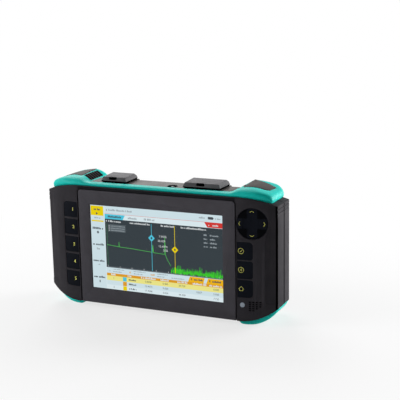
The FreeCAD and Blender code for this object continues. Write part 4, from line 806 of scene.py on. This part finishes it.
MENU_W = 86                    # width of the menu on the left
SIDE = MENU_W + 4              # left edge of all that is right of it
TOP = 42                       # foot of the status line
TABS = 73                      # foot of the tabs
PLOT_END = 353
BUTTONS_END = 386              # foot of the row of buttons, which is the head of the table
AXIS_U = 101                   # upright axis of the plot
AXIS_TOP = 101
AXIS_V = 349                   # level axis, at the upright one's foot
TICK_STEP = 75                 # from one tick of the level axis to the next
FIBRE_END = 492
NOISE_BAR = 2.5                # width of one bar of the noise past the fibre's end
NOISE_STEP = 2.9
NOISE_CREST = 322              # mean top of the bars
NOISE_TOP = 290                # highest and lowest top
NOISE_LOW = 332
NOISE_FOOT = 346               # mean foot of the bars
HUMP = (530, 25, 8)            # place, width and height of the rise where the trace comes down


def menu():
    """Column on the left: its heading and four entries, each with a mark or a small line under it."""
    middle_u = MENU_W / 2
    picture.bar(0, 0, MENU_W, DOTS_DOWN, "paper")
    picture.bar(2, 4, MENU_W - 4, 59, "yellow", 2)
    picture.words(22, 62, 23, 12, "text")
    picture.shape([(35, 40), (35, 54), (48, 47)], "text", 3)
    picture.words(24, 62, 72, 8, "soft")
    picture.bar(6, 86, MENU_W - 5, 94, "yellow", 2)
    for v, wide in ((132, 66), (225, 68), (320, 72), (415, 70)):
        picture.words(middle_u - wide / 2, middle_u + wide / 2, v, 12, "text")
    picture.diamond(middle_u, 155, 8, 9, "text", 3)
    picture.words(32, 58, 250, 12, "soft")
    picture.words(35, 52, 343, 6, "soft")
    picture.bar(41, 434, 47, 448, "text", 3)


def status_line():
    """Name of the file on the left, and the time, the battery and its charge on the right."""
    picture.bar(SIDE, 0, DOTS_ACROSS, TOP, "paper")
    picture.words(100, 108, 21, 14, "soft")
    picture.words(114, 262, 21, 10, "soft")
    picture.words(664, 698, 20, 10, "soft")
    picture.bar(716, 13, 746, 27, "text", 3)
    picture.bar(746, 17, 749, 23, "text", 3)
    picture.words(757, 790, 20, 10, "soft")
    picture.bar(SIDE, TOP, DOTS_ACROSS, TOP + 2, "rule", 2)


def tabs():
    """Three tabs, the first of them open, and a red mark on the right."""
    picture.shape([(SIDE, TOP + 4), (217, TOP + 4), (203, TABS), (SIDE, TABS)], "cyan", 2)
    picture.words(110, 196, 59, 11, "text")
    picture.words(235, 290, 59, 11, "soft")
    picture.words(334, 398, 58, 11, "soft")
    picture.shape([(694, TOP), (DOTS_ACROSS, TOP), (DOTS_ACROSS, 71), (712, 71)], "red", 3)
    picture.words(718, 728, 58, 9, "white", 4)
    picture.words(742, 776, 58, 10, "white", 4)


def plot_ground():
    """Dark ground of the plot, with its heading, its key, the list on its right and its axes."""
    picture.bar(SIDE, TABS, DOTS_ACROSS, PLOT_END, "plot", 2)
    picture.shape([(95, 85), (102, 79), (102, 91)], "white", 3)
    for u0, u1 in ((111, 190), (246, 368), (436, 514), (556, 704)):
        picture.words(u0, u1, 85, 10, "white")
    picture.bar(110, 103, 218, 144, "block", 3)
    for v in (112, 124, 136):
        picture.words(114, 119, v, 8, "white", 4)
        picture.words(126, 214, v, 5, "soft", 4)
    for v in (115, 136, 157, 178):
        picture.words(690, 712, v, 9, "soft")
        picture.words(726, 726 + dice.uniform(26, 56), v, 9, "soft")
    picture.line([(AXIS_U, AXIS_TOP), (AXIS_U, AXIS_V)], 1.6, "dim_green", 3)
    picture.line([(AXIS_U, AXIS_V), (DOTS_ACROSS, AXIS_V)], 1.0, "soft", 3)
    for u in range(AXIS_U, DOTS_ACROSS, TICK_STEP):
        picture.bar(u - 1, AXIS_V - 9, u + 1, AXIS_V, "white", 4)


def trace():
    """Light that comes back along the fibre: its losses, three reflections and its end."""
    points = [(AXIS_U, 222), (174, 228), (174, 200), (176, 229), (245, 231), (380, 240), (384, 198),
              (387, 241), (455, 245), (458, 148), (461, 250), (472, 276), (FIBRE_END, 308)]
    picture.line(points, 2.4, "green", 4)
    picture.line([(384, 205), (387, 241)], 4, "green", 4)


def noise_floor():
    """Bars of uneven height past the fibre's end."""
    u = FIBRE_END
    while u < DOTS_ACROSS - 1:
        rise = HUMP[2] * math.exp(-((u - HUMP[0]) / HUMP[1]) ** 2)
        crest = NOISE_CREST + dice.gauss(0, 10) - rise
        foot = min(AXIS_V + 1, NOISE_FOOT + dice.gauss(0, 5))
        crest = min(max(crest, NOISE_TOP), NOISE_LOW)
        picture.bar(u, crest, min(u + NOISE_BAR, DOTS_ACROSS), foot, "noise", 4)
        u += NOISE_STEP


def cursor(u, v, colour):
    """Upright line through the plot with a handle on it."""
    picture.line([(u, TABS + 7), (u, AXIS_V - 3)], 2.6, colour, 5)
    picture.diamond(u, v, 20, 20, colour, 6)
    picture.diamond(u, v, 6, 8, "plot", 7)


def buttons():
    """Row under the plot: values of the measurement and two buttons."""
    picture.bar(SIDE, PLOT_END, DOTS_ACROSS, BUTTONS_END, "paper", 2)
    for u0, u1, v in ((130, 200, 361), (130, 186, 375), (260, 335, 361), (262, 316, 375), (405, 470, 361),
                      (405, 450, 375), (494, 570, 375)):
        picture.words(u0, u1, v, 6, "soft")
    picture.words(234, 243, 369, 12, "orange")
    picture.words(366, 392, 369, 9, "orange")
    picture.words(108, 114, 371, 8, "soft")
    for u0, u1, slant in ((604, 692, 8), (712, DOTS_ACROSS, 0)):
        picture.shape([(u0, 355), (u1, 355), (u1 - slant, BUTTONS_END), (u0 - 12, BUTTONS_END)], "amber", 3)
        picture.shape([(u0 + 4, 368), (u0 + 12, 361), (u0 + 12, 377)], "text", 4)
        picture.words(u0 + 24, u0 + 76, 369, 11, "text", 4)


def table():
    """Table of the events: its head, then three rows with a coloured mark, a word and figures."""
    picture.bar(SIDE, BUTTONS_END, DOTS_ACROSS, 401, "orange", 2)
    for u0, u1 in ((118, 146), (222, 246), (306, 396), (426, 476), (528, 588), (620, 700), (718, 792)):
        picture.words(u0, u1, 393, 10, "sheet", 3)
    picture.bar(SIDE, 401, DOTS_ACROSS, 428, "row", 2)
    picture.bar(SIDE, 428, DOTS_ACROSS, 454, "paper", 2)
    for v, colour in ((402, "cyan"), (429, "orange"), (455, "yellow")):
        picture.bar(191, v, 215, v + 24, colour, 3)
    rows = (
        (414, ((133, "1"), (350, "0.0000"), (455, "0.000"), (555, "20.720"), (758, "0.000"))),
        (440, ((350, "12.4074"), (455, "0.060"), (658, "0.027"), (758, "5.060"))),
        (466, ((133, "2"), (350, "17.3246"), (455, "0.026"), (555, "44.300"), (758, "7.720"))),
    )
    for v, cells in rows:
        for u, value in cells:
            picture.number(u, v, 15, value, "text", 4)
        picture.words(228, 274, v, 9, "text", 4)


picture.bar(0, 0, DOTS_ACROSS, DOTS_DOWN, "sheet", 0)
menu()
status_line()
tabs()
plot_ground()
trace()
noise_floor()
cursor(378, 160, "cyan")
cursor(518, 213, "yellow")
for u, v, value in ((446, 147, "7.9478"), (438, 172, "20.429"), (446, 202, "12.4074"), (462, 223, "5.06")):
    picture.number(u, v, 17, value, "white", 7)
buttons()
table()
mesh = mesh_of(picture.bm, "screen_picture")
add_piece("screen_picture", mesh, ROOT, list(INKS.values()))

GLASS_T = 0.2 * MM
GLASS_EDGE = 0.05 * MM
pane_high = (glass_high.x, glass_low.y + GLASS_T, glass_high.z)
mesh = slab("screen_pane", glass_low, pane_high, GLASS_EDGE, steps=2)
pane = add_piece("screen_pane", mesh, ROOT, [MATERIALS["screen_glass"]])
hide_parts("display_glass")


# ---- floor, light and camera -------------------------------------------------------------------
FLOOR_R = 6.0
FLOOR_DROP = 0.2 * MM          # keeps the floor's plane off the feet
FLOOR_GREYS = ((0.86, 0.86, 0.86, 1), (0.9, 0.9, 0.9, 1))
WHITER_FROM = 0.15             # radius from which the floor whitens
WHITE_FROM = 0.5               # radius from which it is seen as plain white
NEAR_WHITE = 0.72              # share of plain white within the first of them
AMBIENT = 0.025                # strength at which the white surroundings light the object
CAMERA_AT = (0.45385, -0.93197, 0.34806)
CAMERA_YAW = math.radians(24.06)
CAMERA_PITCH = math.radians(12.55)
CAMERA_ROLL = math.radians(1.05)
CAMERA_LENS = 90


def seen_directly(nodes, links):
    """1 for rays from the camera, off a gloss or through the glass, 0 for those that light things."""
    path = nodes.new("ShaderNodeLightPath")
    value = path.outputs["Is Camera Ray"]
    for ray in ("Is Glossy Ray", "Is Transmission Ray"):
        either = nodes.new("ShaderNodeMath")
        either.operation = "MAXIMUM"
        links.new(value, either.inputs[0])
        links.new(path.outputs[ray], either.inputs[1])
        value = either.outputs[0]
    return value


def floor_material():
    """Pale floor that is seen as white away from the object and keeps its shadow."""
    material, nodes, links, shader, place = new_material("studio_floor")
    links.new(mottled(nodes, links, place, 3, *FLOOR_GREYS), shader.inputs["Base Color"])
    shader.inputs["Roughness"].default_value = 0.8
    glow = nodes.new("ShaderNodeEmission")
    glow.inputs["Color"].default_value = (1, 1, 1, 1)
    away = nodes.new("ShaderNodeVectorMath")
    away.operation = "LENGTH"
    links.new(place, away.inputs[0])
    share = nodes.new("ShaderNodeMath")
    share.operation = "MULTIPLY"
    links.new(seen_directly(nodes, links), share.inputs[0])
    links.new(spread(nodes, links, away.outputs["Value"], WHITER_FROM, WHITE_FROM, NEAR_WHITE, 1.0),
              share.inputs[1])
    mix = nodes.new("ShaderNodeMixShader")
    links.new(share.outputs[0], mix.inputs[0])
    links.new(shader.outputs[0], mix.inputs[1])
    links.new(glow.outputs[0], mix.inputs[2])
    links.new(mix.outputs[0], nodes["Material Output"].inputs["Surface"])
    return material


def floor():
    bm = bmesh.new()
    bmesh.ops.create_circle(bm, cap_ends=True, segments=96, radius=FLOOR_R)
    obj = bpy.data.objects.new("studio_floor", mesh_of(bm, "studio_floor"))
    bpy.context.scene.collection.objects.link(obj)
    obj.data.materials.append(floor_material())
    obj.location.z = -FLOOR_DROP


def lamp(name, place, aim, size, power):
    """Soft lamp at a place, turned to a point, with the sides of its face and its watts."""
    light = bpy.data.lights.new(name, "AREA")
    light.shape = "RECTANGLE"
    light.size, light.size_y = size
    light.energy = power
    obj = bpy.data.objects.new(name, light)
    bpy.context.scene.collection.objects.link(obj)
    obj.location = place
    obj.rotation_euler = (Vector(aim) - Vector(place)).to_track_quat("-Z", "Y").to_euler()


def studio():
    """White surroundings that light the object only faintly, and three lamps."""
    world = bpy.data.worlds.new("studio")
    world.use_nodes = True
    bpy.context.scene.world = world
    nodes, links = world.node_tree.nodes, world.node_tree.links
    background = nodes["Background"]
    background.inputs["Color"].default_value = (1, 1, 1, 1)
    strength = spread(nodes, links, seen_directly(nodes, links), 0, 1, AMBIENT, 1)
    links.new(strength, background.inputs["Strength"])
    lamp("key_left", (-1.5, -0.95, 0.8), (0, 0, 0.08), (1.0, 1.0), 23)
    lamp("side_right", (1.1, 1.0, 0.4), (0, 0, 0.07), (0.7, 0.8), 28)
    lamp("back_left", (-0.7, 0.9, 1.1), (0, 0, 0.1), (0.8, 0.8), 13)


def camera():
    """Camera to the right of the screen and a little above it, turned, tipped and rolled."""
    lens = bpy.data.cameras.new("camera")
    lens.lens = CAMERA_LENS
    obj = bpy.data.objects.new("camera", lens)
    bpy.context.scene.collection.objects.link(obj)
    level = math.cos(CAMERA_PITCH)
    ahead = Vector((-math.sin(CAMERA_YAW) * level, math.cos(CAMERA_YAW) * level, -math.sin(CAMERA_PITCH)))
    right = Vector((math.cos(CAMERA_YAW), math.sin(CAMERA_YAW), 0))
    down = ahead.cross(right)
    side = math.cos(CAMERA_ROLL) * right + math.sin(CAMERA_ROLL) * down
    under = -math.sin(CAMERA_ROLL) * right + math.cos(CAMERA_ROLL) * down
    turn = Matrix((side, -under, -ahead)).transposed().to_4x4()
    obj.matrix_world = Matrix.Translation(Vector(CAMERA_AT)) @ turn
    bpy.context.scene.camera = obj


floor()
studio()
camera()
bpy.context.scene.view_settings.view_transform = "Standard"
